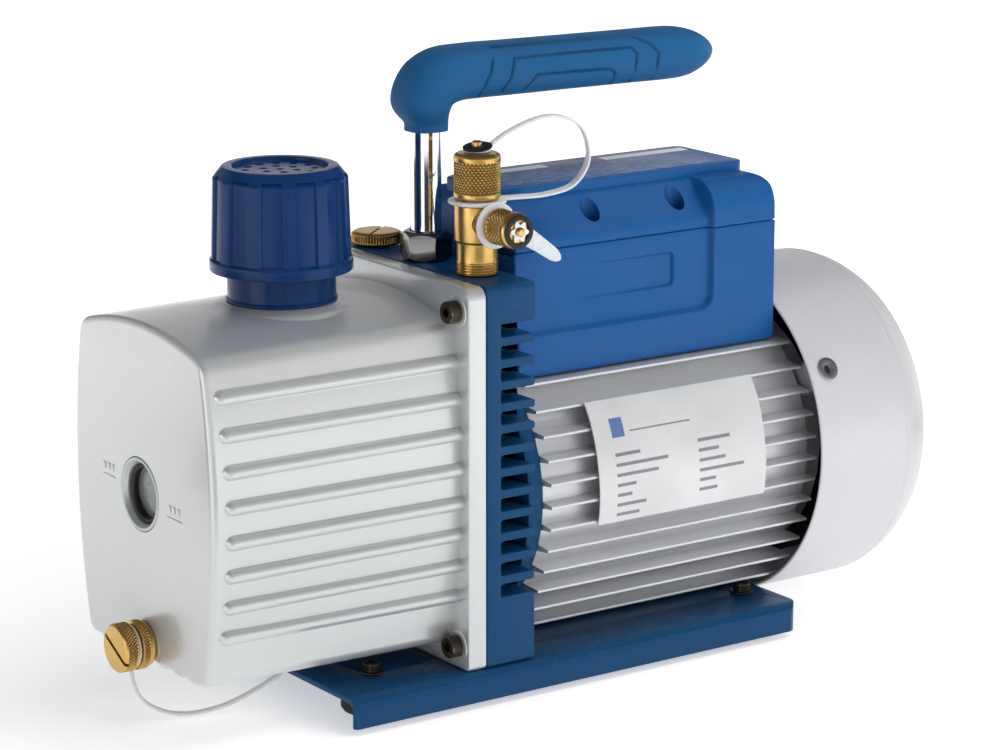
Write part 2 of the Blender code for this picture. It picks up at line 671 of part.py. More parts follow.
# grip sections: x, z of the outer point, x, z of the inner point, half-width in y
GRIP_STATIONS = [
    (3.3, 198.0, 19.1, 198.0, 7.9), (3.3, 200.9, 19.3, 200.9, 8.0),
    (1.6, 203.0, 20.4, 203.4, 9.8), (-0.6, 206.2, 21.4, 206.2, 11.4),
    (-1.4, 211.0, 22.8, 208.2, 12.2), (0.8, 218.0, 25.0, 208.6, 12.6),
    (6.0, 224.2, 28.0, 208.5, 12.6), (15.5, 228.4, 31.5, 208.2, 12.5),
    (28.5, 229.4, 36.0, 208.0, 12.4), (75.0, 228.1, 75.0, 207.9, 12.2),
    (128.0, 228.2, 128.0, 207.4, 12.2), (135.0, 227.8, 135.0, 207.9, 11.9),
    (140.0, 227.1, 140.0, 209.8, 10.8), (144.0, 225.0, 144.0, 212.6, 8.2),
    (147.2, 222.4, 147.2, 215.6, 4.8), (149.0, 220.2, 149.0, 217.9, 1.8)]
GRIP_SQUARENESS = 0.72                           # exponent below 1 squares the oval section


def handle_post():
    path = [(TOP_X, 0, 124.0), (TOP_X, 0, 200.0)] + POST_BEND + [(137.0, 0, HANDLE_Z)]
    finish(tube(path, POST_R, "handle_post"), "handle_post", "polished post")


def handle_nut():
    loops = [circle(0, 0, NUT_FLATS / math.sqrt(3), 6), reverse(circle(0, 0, POST_R + 0.35, 16))]
    nut = outline(loops, NUT_H, (TOP_X, 0, BODY_H + GAP + NUT_H / 2), "handle_nut", PLANE_XY)
    finish(nut, "handle_nut", "polished nut")


def squared(value):
    return math.copysign(abs(value) ** GRIP_SQUARENESS, value)


def handle_grip():
    """Squarish oval carried round the elbow and out along the grip, pointed at the free end."""
    rings = []
    for outer_x, outer_z, inner_x, inner_z, half_width in GRIP_STATIONS:
        outer, inner = Vector((outer_x, 0, outer_z)), Vector((inner_x, 0, inner_z))
        up = (outer - inner).normalized()
        half_height = (outer - inner).length / 2
        rings.append([(outer + inner) / 2 + up * (squared(math.cos(angle)) * half_height)
                      + Vector((0, 1, 0)) * (squared(math.sin(angle)) * half_width)
                      for angle in angles(12)])
    grip = skin(rings, "handle_grip")
    bore_path = [(TOP_X, 0, 190.0), (TOP_X, 0, 200.0)] + POST_BEND + [(139.0, 0, HANDLE_Z)]
    cut(grip, tube(bore_path, POST_R + GAP + 0.15, "grip_bore"))
    finish(grip, "handle_grip", "grip blue")


# ---- inlet fitting with two flare ports and their caps ------------------------------------
SIDE_PORT_Z = 168.5
INLET = (TOP_X, INLET_Y, 0)
SIDE_PORT = (TOP_X, INLET_Y, SIDE_PORT_Z)
TOP_LOOP = [                                     # (x, y) from the inlet axis, z; ring to eye
    (9.2, 0, 175.95), (18.6, -0.6, 175.6), (30.2, -1.4, 175.5), (41.9, -2.2, 177.8),
    (48.5, -2.6, 184.8), (49.2, -2.6, 192.5), (45.0, -2.4, 200.9), (35.5, -2.0, 205.0),
    (25.5, -1.4, 204.7), (13.5, -0.6, 200.8), (4.4, 0, 195.5)]
SIDE_TAB = [                                     # (x, y, z) from SIDE_PORT, ring to free end
    (6.0, -12.4, -1.0), (13.5, -12.6, -5.2), (21.0, -12.9, -10.4), (28.4, -13.2, -15.8)]


def inlet_tee():
    tee = turned([(0, 191.0), (4.0, 191.0), (5.9, 188.6), (5.9, 175.0), (8.5, 175.0),
                  (8.5, 161.0), (7.9, 160.4), (7.9, BODY_H + GAP), (7.5, BODY_H + GAP),
                  (7.5, 130.0), (0, 130.0)], 16, INLET)
    union(tee, turned([(0, 25.0), (3.2, 25.0), (4.4, 23.4), (4.4, 11.6), (6.3, 11.6), (6.3, 0),
                       (0, 0)], 16, SIDE_PORT, ALONG_MINUS_Y))
    cut(tee, rod(3.0, 80, (TOP_X, INLET_Y, 120), ALONG_Z, 8))
    cut(tee, rod(2.2, 40, SIDE_PORT, ALONG_MINUS_Y, 8))
    finish(tee, "inlet_tee", "brass")


def top_port(lift_axis, cap_axis):
    """Cap on top, tethered by a ring round the fitting, a loop and an eye on the cap."""
    tether = turned([(6.3, 176.6), (10.4, 176.6), (10.4, 175.3), (6.3, 175.3)], 16, INLET)
    union(tether, strap(shifted(TOP_LOOP, INLET), 2.8, (0, 1, 0), "top_loop"))
    union(tether, turned([(2.3, 195.9), (5.2, 195.9), (5.2, 194.9), (2.3, 194.9)], 16, INLET))
    finish(tether, "inlet_tether_top", "white", lift_axis)
    cap = turned([(0, 198.8), (1.6, 198.8), (2.0, 198.2), (2.0, 194.5), (7.9, 194.5),
                  (8.5, 193.6), (8.5, 177.0), (6.3, 177.0), (6.3, 191.6), (0, 191.6)], 16, INLET)
    finish(cap, "inlet_cap_top", "cap brass", cap_axis)


def side_port(lift_axis, cap_axis):
    """Cap on the near side, with a ring and a tapering tab behind it."""
    tether = turned([(4.8, 12.9), (8.6, 12.9), (8.6, 11.9), (4.8, 11.9)], 16,
                    SIDE_PORT, ALONG_MINUS_Y)
    union(tether, strap(shifted(SIDE_TAB, SIDE_PORT), 8.4, (0.56, 0, 0.83), "side_tab",
                        end_width=4.6))
    finish(tether, "inlet_tether_side", "white", lift_axis)
    cap = turned([(0, 28.4), (1.4, 28.4), (1.8, 27.9), (1.8, 26.9), (6.3, 26.9), (6.9, 26.3),
                  (6.9, 13.2), (4.7, 13.2), (4.7, 25.4), (0, 25.4)], 16,
                 SIDE_PORT, ALONG_MINUS_Y)
    finish(cap, "inlet_cap_side", "cap brass", cap_axis)


def inlet_fitting():
    top_at = (TOP_X, INLET_Y, 176.7)
    side_at = (TOP_X, INLET_Y - 13, SIDE_PORT_Z)
    top_axes = [empty(f"inlet_top_{kind}_axis", top_at, DATUM) for kind in ("lift", "cap")]
    side_axes = [empty(f"inlet_side_{kind}_axis", side_at, DATUM) for kind in ("lift", "cap")]
    inlet_tee()
    top_port(*top_axes)
    side_port(*side_axes)


# ---- motor --------------------------------------------------------------------------------
BORE_R = 48.3
FIN_COUNT, FIN_Z0, FIN_PITCH, FIN_T = 12, 14.2, 8.0, 2.2
RAIL_Y0, RAIL_Y1, RAIL_Z = 18.0, 27.0, GAP + 0.2              # foot rails
COVER_SCREW_ANGLES = [math.radians(degrees) for degrees in (30.0, 150.0, 270.0)]
COVER_SCREW_X = MOTOR_X1 + 5.3
COVER_T, COVER_CREASE, COVER_REAR_R = 1.2, 200.0, 62.0        # wall, start of taper, rear radius
GRILLE_SPANS = ((14.0, 30.0), (35.0, 54.0))      # inner and outer reach of the grille slots
STATOR_X0, STATOR_X1, STATOR_BORE_R = 55.0, 125.0, 34.2
ON_SHAFT = (0, 0, SHAFT_Z)


def motor_outline():
    """Round core with level fins whose tips end on a circle; plain on top, foot rails below."""
    def core(z):
        squared_y = CORE_R ** 2 - (z - SHAFT_Z) ** 2
        return max(math.sqrt(max(squared_y, 0.0)), RAIL_Y1)

    def tip(z):
        return math.sqrt(FIN_TIP_R ** 2 - (z - SHAFT_Z) ** 2)

    half = [(RAIL_Y0, SHAFT_Z - math.sqrt(CORE_R ** 2 - RAIL_Y0 ** 2)), (RAIL_Y0, RAIL_Z),
            (RAIL_Y1, RAIL_Z)]
    for i in range(FIN_COUNT):
        z = FIN_Z0 + i * FIN_PITCH
        z_top = z + FIN_T
        half += [(core(z), z), (tip(z), z), (tip(z_top), z_top), (core(z_top), z_top)]
    start = math.degrees(math.asin((z_top - SHAFT_Z) / CORE_R))
    half += arc(0, SHAFT_Z, CORE_R, start, 90, 6)[1:-1]
    half += [(0.5, SHAFT_Z + CORE_R)]
    return half + mirror(half)


def motor_housing():
    loops = [motor_outline(), reverse(circle(0, SHAFT_Z, BORE_R, 36))]
    housing = across_x(loops, MOTOR_X0, MOTOR_X1, "motor_housing")
    finish(housing, "motor_housing", "aluminium", sharp_angle=20)


def end_shield_and_fan_cover():
    """Rear end shield with three lugs, and the cover over it; one set of holes cuts both."""
    shield = turned([(16.2, MOTOR_X1 + 10.3), (50.0, MOTOR_X1 + 10.3), (50.0, MOTOR_X1 + GAP),
                     (10.0, MOTOR_X1 + GAP), (10.0, MOTOR_X1 + 3.0), (16.2, MOTOR_X1 + 3.0)],
                    28, ON_SHAFT, ALONG_X)
    for angle in COVER_SCREW_ANGLES:
        at = around_shaft(COVER_SCREW_X, 54.8, angle)
        union(shield, block((8.0, 21.6, 12.0), at, (angle, 0, 0)))
    holes = merge([rod(2.1, 25, around_shaft(COVER_SCREW_X, 52, angle), radial(angle), 10)
                   for angle in COVER_SCREW_ANGLES], "cover_screw_holes")
    cut(shield, holes)
    finish(shield, "motor_end_shield", "end shield")

    inner_r = COVER_R - COVER_T
    cover = turned([(0, COVER_X1), (COVER_REAR_R - 2.0, COVER_X1),
                    (COVER_REAR_R, COVER_X1 - 0.8), (COVER_R - 0.6, COVER_CREASE + 1.0),
                    (COVER_R, COVER_CREASE - 1.0), (COVER_R, COVER_X0), (inner_r, COVER_X0),
                    (inner_r, COVER_CREASE - 1.2), (COVER_REAR_R - 1.2, COVER_X1 - COVER_T),
                    (0, COVER_X1 - COVER_T)], 48, ON_SHAFT, ALONG_X)
    grille = [block((9.0, outer - inner, 6.8),
                    around_shaft(COVER_X1 - 1.5, (inner + outer) / 2, angle), (angle, 0, 0))
              for angle in angles(8, 0.5) for inner, outer in GRILLE_SPANS]
    cut(cover, merge(grille, "cover_grille"))
    cut(cover, holes)
    finish(cover, "fan_cover", "fan cover")


def fan_cover_screws():
    profile = [(0, 2.6), (2.4, 2.3), (4.2, 0.8), (4.2, 0.2), (1.7, 0.2), (1.7, -8.5), (0, -8.5)]
    for place, angle in zip(("far", "near", "bottom"), COVER_SCREW_ANGLES):
        at = around_shaft(COVER_SCREW_X, COVER_R + 0.15, angle)
        finish(turned(profile, 12, at, radial(angle)), f"fan_cover_screw_{place}", "steel screw")


def motor_stator():
    x0, x1 = STATOR_X0, STATOR_X1
    core = turned([(STATOR_BORE_R, x1), (48.0, x1), (48.0, x0), (STATOR_BORE_R, x0)], 28,
                  ON_SHAFT, ALONG_X)
    finish(core, "stator_core", "stator core")
    waist_r, end_x0, end_x1 = STATOR_BORE_R - GAP, x0 - GAP, x1 + GAP
    winding = turned([(31.8, 142.0), (42.0, 142.0), (45.0, 139.0), (45.0, end_x1),
                      (waist_r, end_x1), (waist_r, end_x0), (45.0, end_x0), (45.0, 41.0),
                      (42.0, 38.0), (31.8, 38.0)], 24, ON_SHAFT, ALONG_X)
    finish(winding, "stator_winding", "winding")


def motor_rotor(spin_axis):
    """Shaft, rotor core and cooling fan, which turn together."""
    shaft = turned([(0, 198.0), (7.0, 198.0), (7.5, 197.0), (7.5, 157.0), (9.0, 157.0),
                    (9.0, 26.0), (8.4, 26.0), (8.4, 3.0), (7.0, 3.0), (7.0, -53.0), (0, -53.0)],
                   24, ON_SHAFT, ALONG_X)
    finish(shaft, "motor_shaft", "shaft", spin_axis)
    x0, x1 = STATOR_X0 + 1.0, STATOR_X1 - 1.0
    core = turned([(9.3, x1), (31.2, x1), (31.2, x0), (9.3, x0)], 28, ON_SHAFT, ALONG_X)
    finish(core, "motor_rotor_core", "rotor core", spin_axis)
    fan = turned([(7.8, 194.0), (14.0, 194.0), (15.0, 181.0), (56.0, 178.6), (56.0, 177.0),
                  (7.8, 177.0)], 24, ON_SHAFT, ALONG_X)
    blades = [block((17.0, 42.0, 1.8), around_shaft(186.5, 34.0, angle), (angle, 0, 0))
              for angle in angles(8, 0.25)]
    union(fan, merge(blades, "fan_blades"))
    finish(fan, "cooling_fan", "fan black", spin_axis)


def bearings():
    # name, front and rear x, outer and inner radius
    for place, x0, x1, outer, inner in (("front", 13.4, 25.6, 17.5, 8.7),
                                        ("rear", 161.3, 168.0, 15.9, 7.8)):
        bearing = turned([(inner, x1), (outer, x1), (outer, x0), (inner, x0)], 24,
                         ON_SHAFT, ALONG_X)
        finish(bearing, f"bearing_{place}", "bearing")


# ---- pumping stages -----------------------------------------------------------------------
ROTOR_R, CHAMBER_R = 22.5, 26.0
CHAMBER_Z = SHAFT_Z - (CHAMBER_R - ROTOR_R - GAP)             # chambers sit below the shaft
STAGES = ((-30.0, -GAP), (-52.0, -36.0))         # x span of each chamber
STATOR_FRONT, STATOR_REAR = STAGES[1][0], STAGES[0][1]
STATOR_R, FLAT_Z = 38.0, SHAFT_Z + 34            # pump stator radius, flat on its top
EXHAUST_X = -44.0
VANE_T, VANE_IN, VANE_OUT = 3.0, 12.5, 22.3      # vane thickness, inner and outer reach
VANE_SLOT_IN, VANE_SLOT_HALF = 9.6, 1.7          # inner reach and half-height of its slot


def pump_stator():
    length = STATOR_REAR - STATOR_FRONT
    stator = rod(STATOR_R, length, (STATOR_FRONT, 0, SHAFT_Z), ALONG_X, 32)
    # each chamber is cut 2 mm past its open end
    for x0, x1 in ((STAGES[0][0], STATOR_REAR + 2), (STATOR_FRONT - 2, STAGES[1][1])):
        cut(stator, rod(CHAMBER_R, x1 - x0, (x0, 0, CHAMBER_Z), ALONG_X, 32))
    cut(stator, rod(8.4, 60, (-55, 0, SHAFT_Z), ALONG_X, 12))                  # shaft passage
    cut(stator, box((-60, -20, FLAT_Z), (5, 20, SHAFT_Z + 50), "stator_flat"))
    cut(stator, rod(2.0, 30, (EXHAUST_X, 7.0, SHAFT_Z + 15), ALONG_Z, 10))     # exhaust port
    cut(stator, rod(3.0, 12, (-12, -28.0, SHAFT_Z + 14.0), ALONG_X, 10))       # suction port
    finish(stator, "pump_stator", "pump stator")


def pump_end_cover():
    x0, x1 = -59.0, STATOR_FRONT - GAP
    cover = turned([(8.4, x1), (36.0, x1), (36.0, x0), (8.4, x0)], 28, ON_SHAFT, ALONG_X)
    finish(cover, "pump_end_cover", "end cover")


def pump_stage(number, x0, x1, spin_axis):
    """A slotted rotor and its two vanes."""
    x0, x1 = x0 + 0.6, x1 - 0.6
    rotor = rod(ROTOR_R, x1 - x0, (x0, 0, SHAFT_Z), ALONG_X, 28)
    cut(rotor, rod(7.3, 80, (-70, 0, SHAFT_Z), ALONG_X, 16))
    slots = []
    for side in (1, -1):
        y0, y1 = side_span(side, VANE_SLOT_IN, 30)
        slots.append(box((-60, y0, SHAFT_Z - VANE_SLOT_HALF), (5, y1, SHAFT_Z + VANE_SLOT_HALF)))
    cut(rotor, merge(slots, f"vane_slots_{number}"))
    finish(rotor, f"pump_rotor_stage{number}", "pump rotor", spin_axis)
    for letter, side in (("a", 1), ("b", -1)):
        vane_axis = empty(f"vane_{number}{letter}_axis", (0, side * VANE_IN, SHAFT_Z), DATUM)
        y0, y1 = side_span(side, VANE_IN, VANE_OUT)
        vane = box((x0 + 0.2, y0, SHAFT_Z - VANE_T / 2), (x1 - 0.2, y1, SHAFT_Z + VANE_T / 2))
        finish(vane, f"vane_stage{number}_{letter}", "vane", vane_axis)


def exhaust_flap():
    """Leaf over the exhaust port, origin at its near end."""
    y0 = -2.0
    flap_axis = empty("exhaust_flap_axis", (EXHAUST_X, y0, FLAT_Z + 0.5), DATUM)
    z0 = FLAT_Z + GAP
    flap = box((EXHAUST_X - 4, y0, z0), (EXHAUST_X + 4, 12.0, z0 + 0.8))
    bevel = flap.modifiers.new("edges", "BEVEL")
    bevel.width = 0.2 * MM
    bevel.segments = 1
    bevel.limit_method = "ANGLE"
    finish(flap, "exhaust_flap", "spring steel", flap_axis)


def rotating_parts_and_stages():
    spin_axis = empty("shaft_axis", ON_SHAFT, DATUM)
    motor_rotor(spin_axis)
    bearings()
    pump_stator()
    pump_end_cover()
    for number, (x0, x1) in enumerate(STAGES, 1):
        pump_stage(number, x0, x1, spin_axis)
    exhaust_flap()


# ---- terminal box, switch, power inlet, capacitor -----------------------------------------
BOX_WALL = 2.6
BOX_PLATE_HALF = 22.2                            # half-width of the raised plate on the lid
LID_Z0 = BOX_SEAM + GAP
PANEL_X1, PANEL_DEPTH = 119.0, 0.8               # shallow recessed panel on each side
SOCKET_X, SWITCH_X, SWITCH_Z = 72.0, 105.0, 136.5             # both centred at SWITCH_Z


def side_panels(piece, z0, z1, name):
    for _, side in SIDES:
        y0, y1 = side_span(side, BOX_HALF - PANEL_DEPTH, BOX_HALF + 3)
        cut(piece, box((BOX_X0 - 3, y0, z0), (PANEL_X1, y1, z1), name))


def face_box(x, half_x, half_z, y0, y1, name="box"):
    """A box through the far side, centred on x and SWITCH_Z."""
    return box((x - half_x, y0, SWITCH_Z - half_z), (x + half_x, y1, SWITCH_Z + half_z), name)


def terminal_box():
    tray = box((BOX_X0, -BOX_HALF, BOX_Z0), (BOX_X1, BOX_HALF, BOX_SEAM), "terminal_box")
    cut(tray, rod(CORE_R + GAP, 140, (20, 0, SHAFT_Z), ALONG_X, 48, "tray_saddle"))
    inner_y = BOX_HALF - BOX_WALL
    cut(tray, box((BOX_X0 + BOX_WALL, -inner_y, SHAFT_Z + CORE_R + BOX_WALL),
                  (BOX_X1 - BOX_WALL, inner_y, BOX_SEAM + 5), "tray_hollow"))
    side_panels(tray, 122.0, BOX_SEAM + 5, "side_panel")
    cut(tray, face_box(SOCKET_X, 14.0, 10.5, 30, 45, "inlet_opening"))
    cut(tray, face_box(SWITCH_X, 7.0, 10.5, 30, 45, "switch_opening"))
    finish(tray, "terminal_box", "box blue")


def lid_section(inset, top, bottom):
    """Lid section with sloped shoulders and a raised plate."""
    wide, plate = BOX_HALF - inset, BOX_PLATE_HALF - inset * 0.6
    half = [(wide, bottom), (wide, BOX_SHOULDER - inset * 0.4),
            (wide - 3.2, BOX_SHOULDER + 3.6 - inset), (plate + 1.2, top - 3.4),
            (plate, top - 3.0), (plate, top)]
    return half + mirror(half)


def terminal_box_lid():
    lid = across_x([lid_section(0, BOX_TOP, LID_Z0)], BOX_X0, BOX_X1, "terminal_box_lid")
    cavity = across_x([lid_section(BOX_WALL, BOX_TOP - 3.0, LID_Z0 - 3)],
                      BOX_X0 + BOX_WALL, BOX_X1 - BOX_WALL - 6, "lid_hollow")
    # side view as (x, z): chamfered at the front, rounded at the rear
    rear_r = 9.6
    profile = [(BOX_X0, LID_Z0 - 1), (BOX_X1, LID_Z0 - 1)]
    profile += arc(BOX_X1 - rear_r, BOX_TOP - 2.4 - rear_r, rear_r, 0, 76, 4)
    profile += [(BOX_X1 - 12, BOX_TOP + 1), (BOX_X0 + 8, BOX_TOP + 1),
                (BOX_X0 + 3, BOX_TOP - 3), (BOX_X0, BOX_TOP - 8)]
    boolean(lid, outline([profile], 120, (0, 0, 0), "lid_profile", PLANE_XZ), "INTERSECT")
    cut(lid, cavity)
    side_panels(lid, LID_Z0 - 4, BOX_SHOULDER + 1, "lid_panel")
    wells = [rod(3.6, 12, (x, side * 30.4, 162.6), ALONG_Z, 12)
             for x in (66.0, 107.0) for _, side in SIDES]
    cut(lid, merge(wells, "lid_screw_wells"))
    finish(lid, "terminal_box_lid", "box blue")


def run_capacitor():
    capacitor = turned([(0, 108.0), (13.0, 108.0), (14.0, 107.0), (14.0, 43.0), (13.0, 42.0),
                        (0, 42.0)], 16, (0, -8, 133.2), ALONG_X)
    finish(capacitor, "run_capacitor", "capacitor")


def power_inlet():
    """Flanged socket with three pins."""
    inlet = face_box(SOCKET_X, 13.6, 10.1, 22.0, BOX_HALF - 0.2, "power_inlet")
    union(inlet, face_box(SOCKET_X, 16.5, 13.0, BOX_HALF - 0.5, BOX_HALF + 1.8))
    cut(inlet, face_box(SOCKET_X, 11.0, 7.5, 25.0, BOX_HALF + 5, "socket"))
    for x, z in ((SOCKET_X - 6, 134.5), (SOCKET_X + 6, 134.5), (SOCKET_X, 139.0)):
        union(inlet, box((x - 1.0, 23.5, z - 2.0), (x + 1.0, BOX_HALF - 1, z + 2.0)))
    finish(inlet, "power_inlet", "satin black")


def rocker_switch():
    at = (SWITCH_X, BOX_HALF - 4.0, SWITCH_Z)
    switch_axis = empty("switch_axis", at, DATUM)
    # rocker outline as (y, z) from its pivot, before it is tilted
    level = ((-4.0, -6.0), (3.4, -9.4), (6.6, -9.6), (4.6, -0.5), (4.6, 0.5), (6.6, 9.6),
             (3.4, 9.4), (-4.0, 6.0))
    tilt = math.radians(-8)
    tilted = [(u * math.cos(tilt) - v * math.sin(tilt), u * math.sin(tilt) + v * math.cos(tilt))
              for u, v in level]
    finish(outline([tilted], 13.2, at, "rocker_switch"), "rocker_switch", "glossy black",
           switch_axis)


# ---- rating plate, rolled to the circle of the fin tips -----------------------------------
PLATE_X0, PLATE_X1 = 49.6, 131.0
PLATE_LOW, PLATE_HIGH = -11.3, 34.4              # degrees above the shaft's level, near side


def rating_plate():
    start, end = 180 - PLATE_HIGH, 180 - PLATE_LOW
    points = arc(0, SHAFT_Z, FIN_TIP_R + 0.3, start, end, 12)
    points += arc(0, SHAFT_Z, FIN_TIP_R + 1.0, end, start, 12)
    plate = across_x([points], PLATE_X0, PLATE_X1, "rating_plate")
    finish(plate, "rating_plate", "rating plate")


# ---- assembly -----------------------------------------------------------------------------
base_plate()
feet()
pump_body()
oil_tank()
tank_screws()
sight_glass()
oil_drain()
exhaust()
gas_ballast_knob()
handle_post()
handle_nut()
handle_grip()
inlet_fitting()
motor_housing()
end_shield_and_fan_cover()
fan_cover_screws()
motor_stator()
rotating_parts_and_stages()
terminal_box()
terminal_box_lid()
run_capacitor()
power_inlet()
rocker_switch()
rating_plate()

bpy.context.view_layer.update()
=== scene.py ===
import json
import math

import bmesh
import bpy
from mathutils import Matrix, Vector


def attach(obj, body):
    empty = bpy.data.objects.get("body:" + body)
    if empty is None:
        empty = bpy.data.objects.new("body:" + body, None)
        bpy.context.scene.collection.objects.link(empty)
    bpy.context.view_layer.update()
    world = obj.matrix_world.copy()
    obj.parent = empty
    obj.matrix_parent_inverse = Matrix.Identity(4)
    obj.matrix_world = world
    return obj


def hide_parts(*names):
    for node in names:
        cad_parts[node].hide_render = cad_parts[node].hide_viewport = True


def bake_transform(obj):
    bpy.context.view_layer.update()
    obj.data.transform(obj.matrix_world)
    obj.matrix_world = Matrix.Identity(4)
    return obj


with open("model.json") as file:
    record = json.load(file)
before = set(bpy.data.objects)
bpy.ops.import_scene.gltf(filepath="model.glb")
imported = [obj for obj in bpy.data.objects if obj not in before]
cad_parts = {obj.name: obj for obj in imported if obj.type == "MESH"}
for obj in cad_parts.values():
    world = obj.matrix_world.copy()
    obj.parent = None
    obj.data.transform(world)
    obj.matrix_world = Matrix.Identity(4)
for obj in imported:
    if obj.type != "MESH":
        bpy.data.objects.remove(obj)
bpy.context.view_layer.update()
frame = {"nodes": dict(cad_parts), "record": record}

# Everything below is modelled in millimetres in the part's datum frame (x = 0 on the tank joint face,
# z = 0 on top of the base plate) and moved to the row frame by these two offsets.
OX, OZ = -43.25, 14.0
SCENE = bpy.context.scene
COLL = SCENE.collection


def P(x, y, z):
    return Vector(((x + OX) * 0.001, y * 0.001, (z + OZ) * 0.001))


# ---------------------------------------------------------------------------------------- materials
def srgb(r, g, b):
    out = []
    for c in (r, g, b):
        c /= 255.0
        out.append(c / 12.92 if c <= 0.04045 else ((c + 0.055) / 1.055) ** 2.4)
    return tuple(out) + (1.0,)


class Mat:
    """A small helper that wires a procedural surface: colour drift, dust and painted sheen on top faces, painted shade
    in grooves, worn edges, uneven roughness and two scales of bump."""

    def __init__(self, name):
        self.m = bpy.data.materials.new(name)
        self.m.use_nodes = True
        self.t = self.m.node_tree
        self.b = self.t.nodes["Principled BSDF"]
        self.co = self.node("ShaderNodeTexCoord").outputs["Object"]

    def node(self, kind, **props):
        n = self.t.nodes.new(kind)
        for k, v in props.items():
            setattr(n, k, v)
        return n

    def link(self, a, b):
        self.t.links.new(a, b)
        return b

    def stretch(self, scale):
        mp = self.node("ShaderNodeMapping")
        mp.inputs["Scale"].default_value = scale
        self.link(self.co, mp.inputs["Vector"])
        return mp.outputs["Vector"]

    def noise(self, scale, detail=4.0, rough=0.55, vec=None, out="Fac"):
        n = self.node("ShaderNodeTexNoise")
        n.inputs["Scale"].default_value = scale
        n.inputs["Detail"].default_value = detail
        n.inputs["Roughness"].default_value = rough
        self.link(vec or self.co, n.inputs["Vector"])
        return n.outputs[out]

    def span(self, fac, lo, hi, f0=0.3, f1=0.7):
        r = self.node("ShaderNodeMapRange")
        r.inputs["From Min"].default_value = f0
        r.inputs["From Max"].default_value = f1
        r.inputs["To Min"].default_value = lo
        r.inputs["To Max"].default_value = hi
        self.link(fac, r.inputs["Value"])
        return r.outputs["Result"]

    def mix(self, fac, a, b, blend="MIX"):
        n = self.node("ShaderNodeMix", data_type="RGBA", blend_type=blend)
        for sock, v in ((n.inputs["Factor"], fac), (n.inputs["A"], a), (n.inputs["B"], b)):
            pass
        ins = [s for s in n.inputs if s.enabled]
        for s, v in zip(ins, (fac, a, b)):
            if isinstance(v, (int, float)):
                s.default_value = v
            elif isinstance(v, tuple):
                s.default_value = v
            else:
                self.link(v, s)
        return [o for o in n.outputs if o.enabled][0]

    def math(self, op, a, b=None, clamp=False):
        n = self.node("ShaderNodeMath", operation=op, use_clamp=clamp)
        for i, v in enumerate((a, b)):
            if v is None:
                continue
            if isinstance(v, (int, float)):
                n.inputs[i].default_value = v
            else:
                self.link(v, n.inputs[i])
        return n.outputs[0]

    def up(self):
        """How far a face looks upward, 0 to 1."""
        g = self.node("ShaderNodeNewGeometry")
        s = self.node("ShaderNodeSeparateXYZ")
        self.link(g.outputs["Normal"], s.inputs[0])
        return self.span(s.outputs["Z"], 0.0, 1.0, 0.55, 0.98)

    def edges(self, lo=0.52, hi=0.60):
        g = self.node("ShaderNodeNewGeometry")
        return self.span(g.outputs["Pointiness"], 0.0, 1.0, lo, hi)

    def bump(self, layers):
        """layers: (height output, strength, distance in metres)."""
        prev = None
        for h, strength, dist in layers:
            n = self.node("ShaderNodeBump")
            n.inputs["Strength"].default_value = strength
            n.inputs["Distance"].default_value = dist
            self.link(h, n.inputs["Height"])
            if prev is not None:
                self.link(prev, n.inputs["Normal"])
            prev = n.outputs["Normal"]
        self.link(prev, self.b.inputs["Normal"])

    def set(self, **kv):
        for k, v in kv.items():
            s = self.b.inputs[k.replace("_", " ")]
            if isinstance(v, (int, float, tuple)):
                s.default_value = v
            else:
                self.link(v, s)


def surface(name, col, rough, metal=0.0, drift=0.06, drift_scale=28.0, rough_amp=0.06, grain=2600.0, grain_h=0.00002,
            grain_s=0.25, wave=180.0, wave_h=0.00005, wave_s=0.0, dust_and_sheen=0.0, dust_and_sheen_col=(0.55, 0.53, 0.50, 1), wear=0.0,
            wear_col=None, coat=0.0, coat_rough=0.15, spec=0.5, stretch=None, groove_shade=0.0, **extra):
    s = Mat(name)
    vec = s.stretch(stretch) if stretch else None
    big = s.noise(drift_scale, 5.0, 0.6)
    dark = tuple(c * (1 - drift) for c in col[:3]) + (1,)
    light = tuple(min(1.0, c * (1 + drift)) for c in col[:3]) + (1,)
    c = s.mix(s.span(big, 0, 1), dark, light)
    if wear:
        spots = s.span(s.noise(420.0, 6.0, 0.7), 0.0, 1.0, 0.45, 0.62)
        c = s.mix(s.math("MULTIPLY", s.math("MULTIPLY", s.edges(), spots), wear), c, wear_col or light)
    # upward faces are lightened: grey dust on most surfaces, a painted sheen in a lighter tint of the paint on the cap
    # and grip
    if dust_and_sheen:
        d = s.span(s.noise(75.0, 6.0, 0.65), 0.0, 1.0, 0.42, 0.75)
        c = s.mix(s.math("MULTIPLY", s.math("MULTIPLY", s.up(), d), dust_and_sheen), c, dust_and_sheen_col)
    # painted shade: grooves and knurling are darkened by their depth
    if groove_shade:                                              # grooves and knurling carry a depth attribute
        at = s.node("ShaderNodeAttribute")
        at.attribute_name = "groove_shade"
        c = s.mix(s.math("MULTIPLY", at.outputs["Fac"], groove_shade), c, tuple(v * 0.22 for v in col[:3]) + (1,))
    s.set(Base_Color=c)
    fine = s.noise(grain, 3.0, 0.55, vec)
    smudge = s.noise(46.0, 6.0, 0.65)
    r = s.math("ADD", s.span(smudge, rough - rough_amp, rough + rough_amp), s.span(fine, -0.02, 0.02))
    s.set(Roughness=s.math("MAXIMUM", r, 0.03), Metallic=metal)
    layers = [(fine, grain_s, grain_h)]
    if wave_s:
        layers.append((s.noise(wave, 3.0, 0.5), wave_s, wave_h))
    s.bump(layers)
    if coat:
        s.set(Coat_Weight=coat, Coat_Roughness=coat_rough)
    s.set(Specular_IOR_Level=spec)
    for k, v in extra.items():
        s.set(**{k: v})
    return s.m


